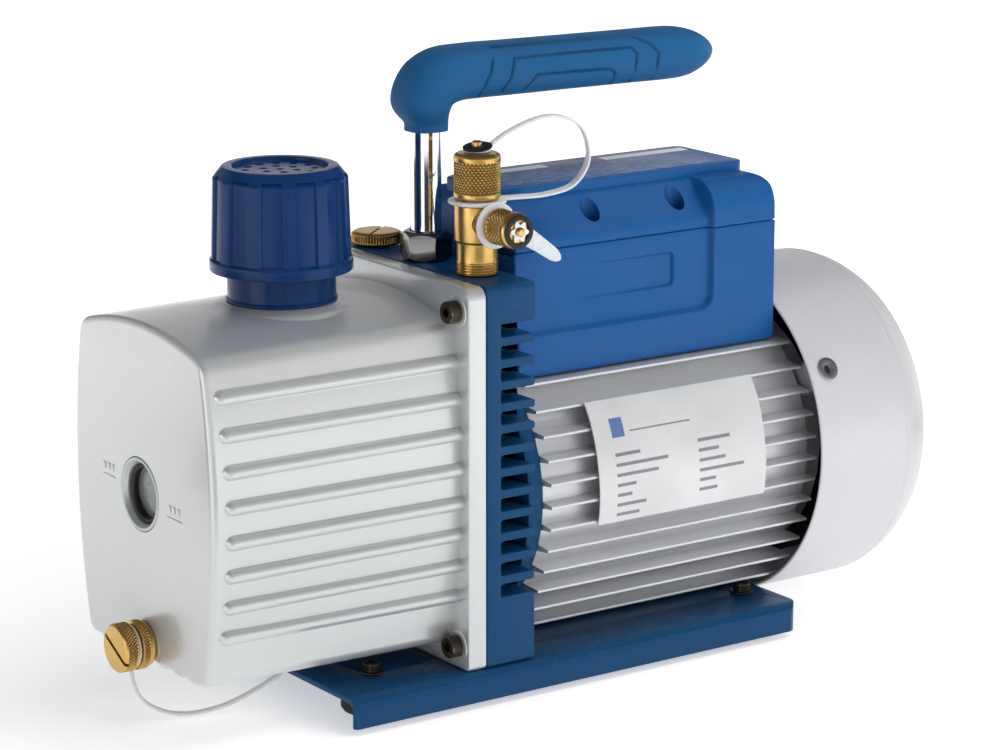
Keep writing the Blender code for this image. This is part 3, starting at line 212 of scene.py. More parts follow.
M = {}
M["blue_paint"] = surface("blue_paint", srgb(14, 66, 108), 0.32, drift=0.03, wave_s=0.10, wave=300.0, wave_h=0.00003, grain_s=0.12,
                          dust_and_sheen=0.02, wear=0.25, wear_col=srgb(70, 118, 160), coat=0.06, coat_rough=0.2, spec=0.12)
M["box_plastic"] = surface("box_plastic", srgb(20, 84, 146), 0.38, drift=0.03, grain=1900.0, grain_s=0.3, grain_h=0.00002,
                           dust_and_sheen=0.03, wear=0.2, wear_col=srgb(84, 132, 186), spec=0.2)
# the cap's upward faces take a lighter blue: painted sheen of its bright top, mottled like dust
M["cap_plastic"] = surface("cap_plastic", srgb(6, 48, 100), 0.22, drift=0.05, grain=1500.0, grain_s=0.10, dust_and_sheen=0.22,
                           dust_and_sheen_col=srgb(110, 128, 165), wear=0.4, wear_col=srgb(64, 92, 146), spec=0.2)
# the grip's upward faces take a lighter blue, a painted sheen; its grooves get painted shade
M["grip_rubber"] = surface("grip_rubber", srgb(28, 88, 136), 0.55, drift=0.05, grain=1400.0, grain_s=0.5, grain_h=0.00003, dust_and_sheen=0.05,
                           dust_and_sheen_col=srgb(96, 136, 176), spec=0.15, groove_shade=0.75)
M["tank_cast"] = surface("tank_cast", srgb(206, 208, 208), 0.30, metal=0.5, drift=0.012, wave_s=0.03, wave=500.0, wave_h=0.00002, rough_amp=0.012,
                         grain=2400.0, grain_s=0.06, dust_and_sheen=0.0, wear=0.0, wear_col=srgb(232, 233, 233), coat=0.5, coat_rough=0.09)
M["fin_alu"] = surface("fin_alu", srgb(216, 217, 219), 0.36, metal=0.6, drift=0.02, grain=1500.0, grain_s=0.08, grain_h=0.00001,
                       rough_amp=0.04, stretch=(0.02, 1.0, 1.0))
M["cover_sheet"] = surface("cover_sheet", srgb(206, 207, 209), 0.38, metal=0.2, drift=0.02, wave_s=0.15, wave=90.0, wave_h=0.0001,
                           grain=2800.0, grain_s=0.35, dust_and_sheen=0.04)
M["shield_cast"] = surface("shield_cast", srgb(168, 170, 172), 0.5, metal=0.6, drift=0.12, wave_s=0.5, wave=900.0, wave_h=0.00006)
M["chrome"] = surface("chrome", srgb(236, 237, 240), 0.05, metal=1.0, drift=0.02, rough_amp=0.02, grain_s=0.03)
# the knurl grooves of the brass caps and knob get painted shade
M["brass"] = surface("brass", srgb(216, 176, 104), 0.29, metal=1.0, drift=0.06, drift_scale=90.0, rough_amp=0.06, grain=2200.0, grain_s=0.2,
                     wear=0.4, wear_col=srgb(250, 224, 160), groove_shade=0.7)
M["nut_chrome"] = surface("nut_chrome", srgb(128, 128, 126), 0.12, metal=1.0, drift=0.06, rough_amp=0.03, grain_s=0.05)
M["screw_black"] = surface("screw_black", srgb(74, 66, 56), 0.32, metal=0.85, drift=0.2, drift_scale=300.0, rough_amp=0.1, wear=0.9,
                           wear_col=srgb(150, 134, 112), grain_s=0.3)
M["zinc"] = surface("zinc", srgb(196, 198, 202), 0.24, metal=1.0, drift=0.08, drift_scale=400.0, rough_amp=0.08)
M["foot_rubber"] = surface("foot_rubber", srgb(24, 24, 25), 0.72, drift=0.2, grain=1200.0, grain_s=0.6, grain_h=0.00005, dust_and_sheen=0.15)
M["tether_plastic"] = surface("tether_plastic", srgb(240, 241, 243), 0.30, drift=0.02, grain_s=0.12, Subsurface_Weight=0.25,
                              Subsurface_Scale=0.003, Transmission_Weight=0.22, IOR=1.3)
M["lens_glass"] = surface("lens_glass", srgb(236, 240, 240), 0.04, drift=0.01, rough_amp=0.015, grain_s=0.02, Transmission_Weight=0.9, IOR=1.45)
M["ring_metal"] = surface("ring_metal", srgb(190, 193, 194), 0.34, metal=0.6, drift=0.05, drift_scale=200.0, grain=2500.0, grain_s=0.2)
M["filter_felt"] = surface("filter_felt", srgb(214, 208, 190), 0.9, drift=0.12, drift_scale=500.0, grain=1800.0, grain_s=1.0, grain_h=0.0002, spec=0.2)
M["lamination"] = surface("lamination", srgb(118, 120, 126), 0.42, metal=0.9, drift=0.1, grain=2600.0, grain_s=0.8, grain_h=0.00008, stretch=(1.0, 0.02, 0.02))
M["enamel_wire"] = surface("enamel_wire", srgb(176, 92, 48), 0.34, metal=0.7, drift=0.16, drift_scale=250.0, grain=900.0, grain_s=0.8, grain_h=0.0002)
M["fan_plastic"] = surface("fan_plastic", srgb(34, 34, 37), 0.45, drift=0.12, grain=1500.0, grain_s=0.4, dust_and_sheen=0.15)
M["steel"] = surface("steel", srgb(190, 192, 196), 0.2, metal=1.0, drift=0.05, grain=1500.0, grain_s=0.25, stretch=(1.0, 0.05, 0.05))
M["iron"] = surface("iron", srgb(112, 114, 117), 0.45, metal=0.85, drift=0.14, grain=1700.0, grain_s=0.6, grain_h=0.00006)
M["vane_comp"] = surface("vane_comp", srgb(58, 47, 38), 0.5, drift=0.25, drift_scale=220.0, grain=1400.0, grain_s=0.4, stretch=(0.1, 1.0, 1.0))
M["black_plastic"] = surface("black_plastic", srgb(22, 22, 24), 0.4, drift=0.12, grain=1900.0, grain_s=0.35, dust_and_sheen=0.06)
M["cap_case"] = surface("cap_case", srgb(208, 208, 204), 0.3, drift=0.04, metal=0.3, grain_s=0.2)
M["dark_gap"] = surface("dark_gap", srgb(18, 18, 20), 0.5, drift=0.2, grain_s=0.3)
M["lens_back"] = surface("lens_back", srgb(150, 154, 152), 0.35, drift=0.25, drift_scale=110.0, grain_s=0.1, coat=0.6, coat_rough=0.05)


def plate_material():
    """Satin plate carrying plain printed bars in place of any wording."""
    s = Mat("plate_alu")
    sep = s.node("ShaderNodeSeparateXYZ")
    s.link(s.co, sep.inputs[0])
    x = s.math("SUBTRACT", s.math("MULTIPLY", sep.outputs["X"], 1000.0), OX)           # datum millimetres
    z = s.math("SUBTRACT", s.math("MULTIPLY", sep.outputs["Z"], 1000.0), OZ)
    ink = None

    def rect(x0, x1, z0, z1):
        a = s.math("MULTIPLY", s.math("GREATER_THAN", x, x0), s.math("LESS_THAN", x, x1))
        b = s.math("MULTIPLY", s.math("GREATER_THAN", z, z0), s.math("LESS_THAN", z, z1))
        return s.math("MULTIPLY", a, b)

    grey, blue = [], rect(58.0, 64.0, 82.0, 89.0)
    grey.append(rect(66.5, 96.0, 83.4, 84.0))
    for i, (w0, w1) in enumerate(((12, 16), (25, 10), (20, 13), (9, 22), (7, 8), (14, 9), (11, 0))):
        z0 = 75.0 - 3.9 * i
        grey.append(rect(58.0, 58.0 + w0, z0, z0 + 1.3))
        if w1:
            grey.append(rect(98.0, 98.0 + w1, z0, z0 + 1.3))
    for r in grey:
        ink = r if ink is None else s.math("MAXIMUM", ink, r)
    base = s.mix(s.span(s.noise(30.0, 5.0), 0, 1), srgb(206, 207, 208), srgb(220, 221, 222))
    c = s.mix(s.math("MULTIPLY", ink, 0.72), base, srgb(70, 72, 78))
    c = s.mix(s.math("MULTIPLY", blue, 0.85), c, srgb(40, 92, 160))
    fine = s.noise(2400.0, 3.0)
    s.set(Base_Color=c, Metallic=0.25, Roughness=s.span(s.noise(60.0, 5.0), 0.30, 0.42))
    s.bump([(fine, 0.2, 0.00002)])
    return s.m


def label_material():
    """Dark label with one plain white stripe and rows of faint dashes."""
    s = Mat("top_label")
    sep = s.node("ShaderNodeSeparateXYZ")
    s.link(s.co, sep.inputs[0])
    x = s.math("SUBTRACT", s.math("MULTIPLY", sep.outputs["X"], 1000.0), OX)
    y = s.math("MULTIPLY", sep.outputs["Y"], 1000.0)
    stripe = s.math("MULTIPLY", s.math("GREATER_THAN", y, 9.5), s.math("LESS_THAN", y, 15.5))
    gap = s.math("MULTIPLY", s.math("GREATER_THAN", x, 76.0), s.math("LESS_THAN", x, 104.0))
    row = s.math("LESS_THAN", s.math("PINGPONG", y, 1.75), 0.55)
    dash = s.math("GREATER_THAN", s.noise(900.0, 2.0, 0.5, s.stretch((0.25, 1.0, 1.0))), 0.5)
    body = s.math("MULTIPLY", s.math("LESS_THAN", y, 7.0), s.math("MULTIPLY", s.math("GREATER_THAN", x, 40.0), s.math("LESS_THAN", x, 134.0)))
    faint = s.math("MULTIPLY", s.math("MULTIPLY", row, dash), body)
    base = s.mix(s.span(s.noise(40.0, 5.0), 0, 1), srgb(34, 80, 138), srgb(44, 92, 150))
    c = s.mix(s.math("MULTIPLY", faint, 0.5), base, srgb(170, 178, 200))
    c = s.mix(stripe, c, srgb(236, 238, 240))
    c = s.mix(s.math("MULTIPLY", s.math("MULTIPLY", stripe, gap), 0.85), c, srgb(60, 66, 84))
    s.set(Base_Color=c, Roughness=s.span(s.noise(60.0, 5.0), 0.30, 0.42), Metallic=0.0)
    s.bump([(s.noise(2400.0, 3.0), 0.15, 0.00002)])
    return s.m


M["plate_alu"] = plate_material()
M["top_label"] = label_material()

# ---------------------------------------------------------------------------------------- geometry
AX = {"Z": (Vector((1, 0, 0)), Vector((0, 1, 0)), Vector((0, 0, 1))),
      "X": (Vector((0, 1, 0)), Vector((0, 0, 1)), Vector((1, 0, 0))),
      "-X": (Vector((0, -1, 0)), Vector((0, 0, 1)), Vector((-1, 0, 0))),
      "-Y": (Vector((1, 0, 0)), Vector((0, 0, 1)), Vector((0, -1, 0))),
      "Y": (Vector((0, 0, 1)), Vector((1, 0, 0)), Vector((0, 1, 0)))}


def basis(axis):
    if isinstance(axis, str):
        return AX[axis]
    w = Vector(axis).normalized()
    u = w.orthogonal().normalized()
    return u, w.cross(u), w


def soften(prof, r, n=3, closed=False, keep=()):
    """Rounds the corners of a polyline with short curves of about radius r."""
    out, N = [], len(prof)
    for i, p in enumerate(prof):
        if (not closed and i in (0, N - 1)) or i in keep:
            out.append(p)
            continue
        a, b, c = Vector(prof[i - 1]), Vector(p), Vector(prof[(i + 1) % N])
        u, v = a - b, c - b
        lu, lv = u.length, v.length
        if lu < 1e-6 or lv < 1e-6:
            out.append(p)
            continue
        turn = math.pi - u.angle(v)
        if turn < math.radians(8):
            out.append(p)
            continue
        d = min(r, 0.46 * lu, 0.46 * lv)
        s, e = b + u / lu * d, b + v / lv * d
        for k in range(n + 1):
            t = k / n
            out.append(tuple(s * (1 - t) ** 2 + b * 2 * t * (1 - t) + e * t * t))
    return out


def new_object(name, bm, sharp=32.0):
    bmesh.ops.recalc_face_normals(bm, faces=bm.faces)
    me = bpy.data.meshes.new(name)
    bm.to_mesh(me)
    bm.free()
    ob = bpy.data.objects.new(name, me)
    COLL.objects.link(ob)
    shade(ob, sharp)
    return ob


def shade(ob, sharp=32.0):
    ob.data.shade_smooth()
    if sharp:
        ob.data.set_sharp_from_angle(angle=math.radians(sharp))


def lathe_bm(bm, prof, at, axis="Z", seg=96, closed=False, disp=None):
    u, v, w = basis(axis)
    o = P(*at)
    rings = []
    for r, h in prof:
        if r < 1e-6:
            rings.append([bm.verts.new(o + w * h * 0.001)])
            continue
        ring = []
        for k in range(seg):
            a = 2 * math.pi * k / seg
            rr, hh = disp(a, r, h) if disp else (r, h)
            ring.append(bm.verts.new(o + ((u * math.cos(a) + v * math.sin(a)) * rr + w * hh) * 0.001))
        rings.append(ring)
    pairs = list(zip(rings, rings[1:]))
    if closed:
        pairs.append((rings[-1], rings[0]))
    for a, b in pairs:
        if len(a) == 1 and len(b) == 1:
            continue
        for k in range(seg):
            k2 = (k + 1) % seg
            if len(a) == 1:
                bm.faces.new((a[0], b[k], b[k2]))
            elif len(b) == 1:
                bm.faces.new((a[k], b[0], a[k2]))
            else:
                bm.faces.new((a[k], b[k], b[k2], a[k2]))


def lathe(name, prof, at, axis="Z", seg=96, r=0.3, n=2, closed=None, disp=None, sharp=32.0):
    """A turned body; the profile runs (radius, height) and is closed when it never meets the axis."""
    if closed is None:
        closed = prof[0][0] > 1e-6
    if r:
        prof = soften(prof, r, n, closed)
    bm = bmesh.new()
    lathe_bm(bm, prof, at, axis, seg, closed, disp)
    return new_object(name, bm, sharp)


def dense(prof, step):
    """Adds points so that no segment of a profile is longer than step."""
    out = [prof[0]]
    for a, b in zip(prof, prof[1:]):
        L = math.hypot(b[0] - a[0], b[1] - a[1])
        k = max(1, int(math.ceil(L / step)))
        out += [(a[0] + (b[0] - a[0]) * i / k, a[1] + (b[1] - a[1]) * i / k) for i in range(1, k + 1)]
    return out


def circle(cu, cv, r, n, phase=0.0):
    return [(cu + r * math.cos(2 * math.pi * i / n + phase), cv + r * math.sin(2 * math.pi * i / n + phase)) for i in range(n)]


def arc(cu, cv, r, a0, a1, n):
    return [(cu + r * math.cos(math.radians(a0 + (a1 - a0) * i / n)), cv + r * math.sin(math.radians(a0 + (a1 - a0) * i / n)))
            for i in range(n + 1)]


def rounded_rect(u0, v0, u1, v1, r, n=8):
    return (arc(u1 - r, v0 + r, r, -90, 0, n) + arc(u1 - r, v1 - r, r, 0, 90, n)
            + arc(u0 + r, v1 - r, r, 90, 180, n) + arc(u0 + r, v0 + r, r, 180, 270, n))


PLANES = {"YZ": (Vector((0, 1, 0)), Vector((0, 0, 1)), Vector((1, 0, 0))),
          "XY": (Vector((1, 0, 0)), Vector((0, 1, 0)), Vector((0, 0, 1))),
          "XZ": (Vector((1, 0, 0)), Vector((0, 0, 1)), Vector((0, -1, 0)))}


def plate(name, loops, w0, w1, plane="YZ", bevel=0.0, res=2, sharp=32.0):
    """A flat outline with holes between two levels along the plane's normal, with rounded rims."""
    cu = bpy.data.curves.new(name, "CURVE")
    cu.dimensions = "2D"
    cu.fill_mode = "BOTH"
    cu.extrude = abs(w1 - w0) * 0.0005 - bevel * 0.001
    if bevel:
        cu.bevel_depth = bevel * 0.001
        cu.offset = -bevel * 0.001
        cu.bevel_resolution = res
    for pts in loops:
        sp = cu.splines.new("POLY")
        sp.points.add(len(pts) - 1)
        for p, q in zip(sp.points, pts):
            p.co = (q[0] * 0.001, q[1] * 0.001, 0, 1)
        sp.use_cyclic_u = True
    tmp = bpy.data.objects.new("tmp", cu)
    COLL.objects.link(tmp)
    bpy.context.view_layer.update()
    me = bpy.data.meshes.new_from_object(tmp.evaluated_get(bpy.context.evaluated_depsgraph_get()))
    bpy.data.objects.remove(tmp, do_unlink=True)
    bpy.data.curves.remove(cu)
    u, v, w = PLANES[plane]
    mid = w * (w0 + w1) / 2
    if plane == "XZ":
        mid = Vector((0, (w0 + w1) / 2, 0))
    o = P(mid.x, mid.y, mid.z)
    M4 = Matrix((u, v, w)).transposed().to_4x4()
    M4.translation = o
    me.transform(M4)
    if M4.determinant() < 0:
        me.flip_normals()
    bm = bmesh.new()
    bm.from_mesh(me)
    bpy.data.meshes.remove(me)
    bmesh.ops.remove_doubles(bm, verts=bm.verts, dist=0.000004)
    return new_object(name, bm, sharp)


def block(name, lo, hi, bevel=0.0, seg=3, sharp=32.0):
    bm = bmesh.new()
    bmesh.ops.create_cube(bm, size=1.0)
    a, b = P(*lo), P(*hi)
    for vtx in bm.verts:
        vtx.co = Vector(((a.x + b.x) / 2 + vtx.co.x * (b.x - a.x), (a.y + b.y) / 2 + vtx.co.y * (b.y - a.y),
                         (a.z + b.z) / 2 + vtx.co.z * (b.z - a.z)))
    if bevel:
        bmesh.ops.bevel(bm, geom=bm.edges[:], offset=bevel * 0.001, segments=seg, profile=0.5, affect="EDGES")
    return new_object(name, bm, sharp)


def loft_bm(bm, rings, close=True, loop=True):
    """rings: lists of world points with equal counts."""
    prev = first = None
    for pts in rings:
        cur = [bm.verts.new(p) for p in pts]
        if prev is not None:
            n = len(cur)
            for i in range(n if loop else n - 1):
                bm.faces.new((prev[i], prev[(i + 1) % n], cur[(i + 1) % n], cur[i]))
        else:
            first = cur
        prev = cur
    if close:
        bm.faces.new(first)
        bm.faces.new(prev)


def join(objs, name=None):
    """Several meshes as one object; shading flags are kept."""
    base = objs[0]
    for o in objs:
        apply_mods(o)
    bm = bmesh.new()
    for o in objs:
        me = o.data.copy()
        me.transform(o.matrix_world)
        bm.from_mesh(me)
        bpy.data.meshes.remove(me)
    me = bpy.data.meshes.new(name or base.name)
    bm.to_mesh(me)
    bm.free()
    nm = name or base.name
    for o in objs:
        bpy.data.objects.remove(o, do_unlink=True)
    me.name = nm
    ob = bpy.data.objects.new(nm, me)
    COLL.objects.link(ob)
    return ob


def apply_mods(ob):
    if not ob.modifiers:
        return ob
    bpy.context.view_layer.update()
    me = bpy.data.meshes.new_from_object(ob.evaluated_get(bpy.context.evaluated_depsgraph_get()))
    ob.modifiers.clear()
    ob.data = me
    return ob


def carve(ob, *cutters, op="DIFFERENCE", sharp=32.0, keep=False):
    for c in cutters:
        md = ob.modifiers.new("b", "BOOLEAN")
        md.operation = op
        md.solver = "EXACT"
        md.object = c
    apply_mods(ob)
    for c in cutters:
        if not keep:
            bpy.data.objects.remove(c, do_unlink=True)
    shade(ob, sharp)
    return ob


def bevel_mod(ob, width, seg=3, angle=35.0, sharp=32.0):
    md = ob.modifiers.new("edges", "BEVEL")
    md.width = width * 0.001
    md.segments = seg
    md.limit_method = "ANGLE"
    md.angle_limit = math.radians(angle)
    md.harden_normals = False
    md.use_clamp_overlap = True
    apply_mods(ob)
    shade(ob, sharp)
    return ob


def cyl(name, r, h0, h1, at, axis="Z", seg=48, r2=None):
    r2 = r if r2 is None else r2
    bm = bmesh.new()
    lathe_bm(bm, [(0, h1), (r2, h1), (r, h0), (0, h0)], at, axis, seg)
    return new_object(name, bm)


def put(ob, body, mat, replaces=()):
    ob.data.materials.clear()
    ob.data.materials.append(M[mat])
    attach(ob, body)
    if replaces:
        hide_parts(*replaces)
    return ob


def catmull(ctrl, n):
    C = [Vector(c) for c in ctrl]
    C = [2 * C[0] - C[1]] + C + [2 * C[-1] - C[-2]]
    out = []
    for i in range(1, len(C) - 2):
        for k in range(n):
            t = k / n
            a, b, c, d = C[i - 1], C[i], C[i + 1], C[i + 2]
            out.append(0.5 * ((2 * b) + (c - a) * t + (2 * a - 5 * b + 4 * c - d) * t * t + (3 * b - a - 3 * c + d) * t ** 3))
    out.append(C[-2])
    return out


def smooth(t):
    t = max(0.0, min(1.0, t))
    return t * t * (3 - 2 * t)


def mark(ob, fn):
    """Writes a depth value per point, read by the surfaces that paint shade into grooves."""
    at = ob.data.attributes.get("groove_shade") or ob.data.attributes.new("groove_shade", "FLOAT", "POINT")
    co = [0.0] * (3 * len(ob.data.vertices))
    ob.data.vertices.foreach_get("co", co)
    at.data.foreach_set("value", [max(0.0, min(1.0, fn(co[i] * 1000 - OX, co[i + 1] * 1000, co[i + 2] * 1000 - OZ))) for i in range(0, len(co), 3)])
    return ob


def mark_knurl(ob, at, axis, bands, depth):
    u, v, w = basis(axis)
    o = Vector(at)

    def fn(x, y, z):
        d = Vector((x, y, z)) - o
        h = d.dot(w)
        for lo, hi, r in bands:
            if lo + 0.05 < h < hi - 0.05:
                rad = math.hypot(d.dot(u), d.dot(v))
                if rad > r - depth * 1.15:
                    return (r - rad) / depth
        return 0.0
    return mark(ob, fn)

# ---------------------------------------------------------------------------------------- oil tank
TANK_FRONT, FLANGE = -115.4, 8.4
RIB_F = (30.3, 41.9, 53.9, 66.5, 79.6, 92.6, 106.1, 119.7)          # rib heights at the front
RIB_R = (28.3, 40.7, 53.1, 65.6, 78.7, 92.3, 105.5, 119.5)          # and at the flange
CAP_X, PAD_Z = -53.9, 140.6
RIB_HALF, RIB_TALL, NOSE = 2.9, 2.45, 2.6


def tank_t(x):
    return max(0.0, min(1.0, (x - TANK_FRONT) / (-FLANGE - TANK_FRONT)))


def rib_end(z):
    return -110.1 - 1.7 * ((z - 72.0) / 46.0) ** 2


def bump_profile(rho, half, height):
    """Half-round bead with a small fillet at its foot."""
    if rho >= half:
        return 0.0
    k = rho / half
    return height * (1 - k * k) ** 0.75 * smooth((1 - k) / 0.16)


def side_levels(z_lo, z_hi):
    zs = {round(z_lo, 3), round(z_hi, 3)}
    z = z_lo
    while z < z_hi:
        zs.add(round(z, 3))
        z += 3.2
    for c in RIB_F:
        for k in range(-12, 13):
            q = c + k * 0.27
            if z_lo < q < z_hi:
                zs.add(round(q, 3))
    out = []
    for q in sorted(zs):
        if not out or q - out[-1] > 0.12:
            out.append(q)
    return out


def lerp_table(q, xs, ys):
    if q <= xs[0]:
        return ys[0]
    for i in range(1, len(xs)):
        if q <= xs[i]:
            f = (q - xs[i - 1]) / (xs[i] - xs[i - 1])
            return ys[i - 1] + (ys[i] - ys[i - 1]) * f
    return ys[-1]


def tank_dims(x, inset=0.0):
    t = tank_t(x)
    return 51.7 - inset, 139.4 + 1.0 * t - inset, 10.4 - 1.9 * t + inset, 8.6 - 0.8 * t


REF_LO, REF_HI = 15.6, 127.6
LEVELS = side_levels(REF_LO, REF_HI)


def tank_ring(x, inset=0.0, ribs=True):
    """Barrel-sided section with the side ribs and three low rails under the floor, as (y, z) points."""
    t = tank_t(x)
    mid, top, bot, crown = tank_dims(x, inset)
    r = max(1.5, 5.2 - inset * 0.9)
    zc, hz = 75.2, 64.8
    sag = 7.4

    def sy(z):
        return mid - sag * ((z - zc) / hz) ** 2

    def cz(y):
        return top - crown * (y / mid) ** 2

    yC = mid - 5.6
    for _ in range(12):                                  # corner where the side meets the crowned top
        zC = cz(yC)
        yC = sy(zC)
    z_lo, z_hi = bot + r, zC - r
    yb = sy(z_lo)
    right = []
    nf = 40
    for i in range(nf):                                  # floor from the middle to the corner
        y = (yb - r) * i / nf
        d = 0.0
        if ribs:
            fade = smooth((x - TANK_FRONT - 0.5) / 3.0)
            for c in (9.0, 21.0, 33.0):
                d += bump_profile(abs(y - c), 2.6, 1.7) * (0.35 + 0.65 * fade)
        right.append((y, bot - d))
    right += arc(yb - r, bot + r, r, -90, 0, 10)
    shifts = [z_lo - REF_LO] + [(b2 - a2) * t for a2, b2 in zip(RIB_F, RIB_R)] + [z_hi - REF_HI]
    knots = [REF_LO] + list(RIB_F) + [REF_HI]
    for q in LEVELS[1:-1]:
        z = q + lerp_table(q, knots, shifts)
        y = sy(z)
        if ribs:
            for c, c2 in zip(RIB_F, RIB_R):
                dz = z - (c + (c2 - c) * t)
                if abs(dz) < 4:
                    dx = max(0.0, rib_end(c) + RIB_HALF - x)
                    y += bump_profile(math.hypot(dz, dx), RIB_HALF, RIB_TALL)
        right.append((y, z))
    S, C, E = Vector((sy(z_hi), z_hi)), Vector((yC, zC)), Vector((yC - r, cz(yC - r)))
    for k in range(13):                                  # rounded top corner between the two curves
        f = k / 12
        q2 = S * (1 - f) ** 2 + C * 2 * f * (1 - f) + E * f * f
        right.append((q2.x, q2.y))
    nc = 14
    yE = yC - r
    right += [(yE * (1 - i / nc), cz(yE * (1 - i / nc))) for i in range(1, nc)]
    pts = [(u, v) for u, v in right] + [(0.0, cz(0))] + [(-u, v) for u, v in reversed(right[1:])]
    return pts


xs = [-2.0, -6.0, -8.6, -12.0, -30.0, -60.0, -85.0, -100.0, -105.0]
q = -106.0
while q > TANK_FRONT + NOSE:
    xs.append(q)
    q -= 0.45
rings = [(x, tank_ring(x)) for x in xs]
for k in range(9):
    a = 90 * k / 8
    x = TANK_FRONT + NOSE - NOSE * math.sin(math.radians(a))
    ring = tank_ring(x, NOSE * (1 - math.cos(math.radians(a))))
    rings.append((x, ring))
inner = [(TANK_FRONT + 3.5, tank_ring(TANK_FRONT + 3.5, 5.2, False)), (TANK_FRONT + 6.0, tank_ring(TANK_FRONT + 6.0, 3.6, False)),
         (-60.0, tank_ring(-60.0, 3.5, False)), (-2.0, tank_ring(-2.0, 3.5, False))]
bm = bmesh.new()
outer_v = []
for x, ring in rings:
    outer_v.append([bm.verts.new(P(x, u, v)) for u, v in ring])
inner_v = [[bm.verts.new(P(x, u, v)) for u, v in ring] for x, ring in inner]
n = len(outer_v[0])
for seq in (outer_v, inner_v):
    for a, b in zip(seq, seq[1:]):
        for i in range(n):
            bm.faces.new((a[i], a[(i + 1) % n], b[(i + 1) % n], b[i]))
for i in range(n):                                       # back rim joins the outer and inner walls
    bm.faces.new((outer_v[0][i], inner_v[-1][i], inner_v[-1][(i + 1) % n], outer_v[0][(i + 1) % n]))
bm.faces.new(outer_v[-1])
bm.faces.new(inner_v[0])
tank = new_object("tank_shell", bm, 28)
pad = lathe("pad", [(0, PAD_Z), (21.6, PAD_Z), (23.0, PAD_Z - 0.5), (25.5, PAD_Z - 1.3), (28.0, PAD_Z - 3.5), (16.0, PAD_Z - 6.5), (0, PAD_Z - 6.5)],
            (CAP_X, 0, 0), seg=96, r=0.9, n=4)
SIGHT_Y, SIGHT_Z, DRAIN_Z = 1.5, 74.0, 17.0
carve(tank, pad, op="UNION", sharp=28)
carve(tank, cyl("c1", 14.5, -8, 12, (CAP_X, 0, PAD_Z)), cyl("c2", 14.25, -2, 12, (TANK_FRONT + 5, SIGHT_Y, SIGHT_Z), "-X"),
      cyl("c3", 4.2, -2, 12, (TANK_FRONT + 5, 0, DRAIN_Z), "-X"), sharp=28)
hw = 57.0
def corners(lo_r, hi_r, h=57.0, z0=0.3, z1=148.0):
    return (arc(h - lo_r, z0 + lo_r, lo_r, -90, 0, 8) + arc(h - hi_r, z1 - hi_r, hi_r, 0, 90, 8)
            + arc(-h + hi_r, z1 - hi_r, hi_r, 90, 180, 8) + arc(-h + lo_r, z0 + lo_r, lo_r, 180, 270, 8))


SC_Y, SC_Z = 49.6, (9.2, 138.8)
flange = plate("tank_flange", [corners(2.0, 4.5), list(reversed(tank_ring(-FLANGE, 1.7, False)))], -FLANGE, -0.3, "YZ", bevel=0.6)
holes = [cyl("h", 2.9, -12, 12, (-4, s * SC_Y, z), "X", 24) for s in (-1, 1) for z in SC_Z]
carve(flange, *holes)
bosses = [lathe("boss", [(3.0, 0.35), (5.8, 0.35), (6.2, 0.0), (6.2, -1.2), (3.0, -1.2)], (-FLANGE, s * SC_Y, z), "-X", 48, r=0.2) for s in (-1, 1)
          for z in SC_Z]
tank_all = join([tank, flange] + bosses, "tank_body")
shade(tank_all, 30)
put(tank_all, "root", "tank_cast", ["oil_tank"])


def raised(name, quads, level, thick, mat="tank_cast"):
    """Small raised bars on the tank front, given as (y, z, half length, half height)."""
    objs = [block("m", (TANK_FRONT - thick, y - a, z - b), (TANK_FRONT + 0.6, y + a, z + b), 0.12, 2) for y, z, a, b in quads]
    return put(join(objs, name), "root", mat)


# generic raised marks beside the window, standing for level marks
raised("level_marks", [(25.0, 76.0, 4.4, 0.35), (25.0, 79.6, 1.1, 1.3), (21.9, 79.6, 0.9, 1.3), (28.1, 79.6, 0.9, 1.3),
                       (-24.0, 70.0, 5.2, 0.35), (-24.0, 73.6, 0.9, 1.3), (-27.2, 73.6, 0.9, 1.3), (-20.8, 73.6, 0.9, 1.3)], 0, 0.35)

# sight glass: stepped bezel, black O-ring, domed lens, pale reflector behind it
ring = lathe("sight_bezel", [(12.5, 0.0), (12.8, 0.35), (13.6, 0.35), (14.0, 0.05), (14.0, -9.0), (9.2, -9.0), (9.2, -7.4), (11.4, -7.4), (11.4, -1.4)],
             (TANK_FRONT, SIGHT_Y, SIGHT_Z), "-X", 128, r=0.35, n=3)
put(ring, "root", "ring_metal", ["sight_glass_ring"])
bm = bmesh.new()
sec = [(11.3 - 0.9 + 1.0 * math.cos(a), -3.6 + 1.5 * math.sin(a)) for a in [2 * math.pi * k / 16 for k in range(16)]]
lathe_bm(bm, sec, (TANK_FRONT, SIGHT_Y, SIGHT_Z), "-X", 96, True)
put(new_object("sight_o_ring", bm, 0), "root", "dark_gap")
lens = lathe("sight_lens", [(0, -4.2), (4.0, -4.28), (7.5, -4.6), (9.6, -5.1), (10.2, -5.4), (10.2, -6.9), (0, -6.9)],
             (TANK_FRONT, SIGHT_Y, SIGHT_Z), "-X", 96, r=0.15)
put(lens, "root", "lens_glass", ["sight_glass_lens"])
back = lathe("sight_reflector", [(0, -8.0), (1.6, -8.0), (2.0, -8.4), (8.4, -8.4), (8.9, -8.1), (9.0, -9.8), (0, -9.8)], (TANK_FRONT, SIGHT_Y, SIGHT_Z), "-X", 64, r=0.15)
drills = [cyl("d", 0.85, 7.2, 9.2, (TANK_FRONT, SIGHT_Y + 5.2 * math.cos(math.radians(60 * k + 20)), SIGHT_Z + 5.2 * math.sin(math.radians(60 * k + 20))), "X", 20) for k in range(6)]
carve(back, *drills, sharp=32)
put(back, "root", "lens_back")


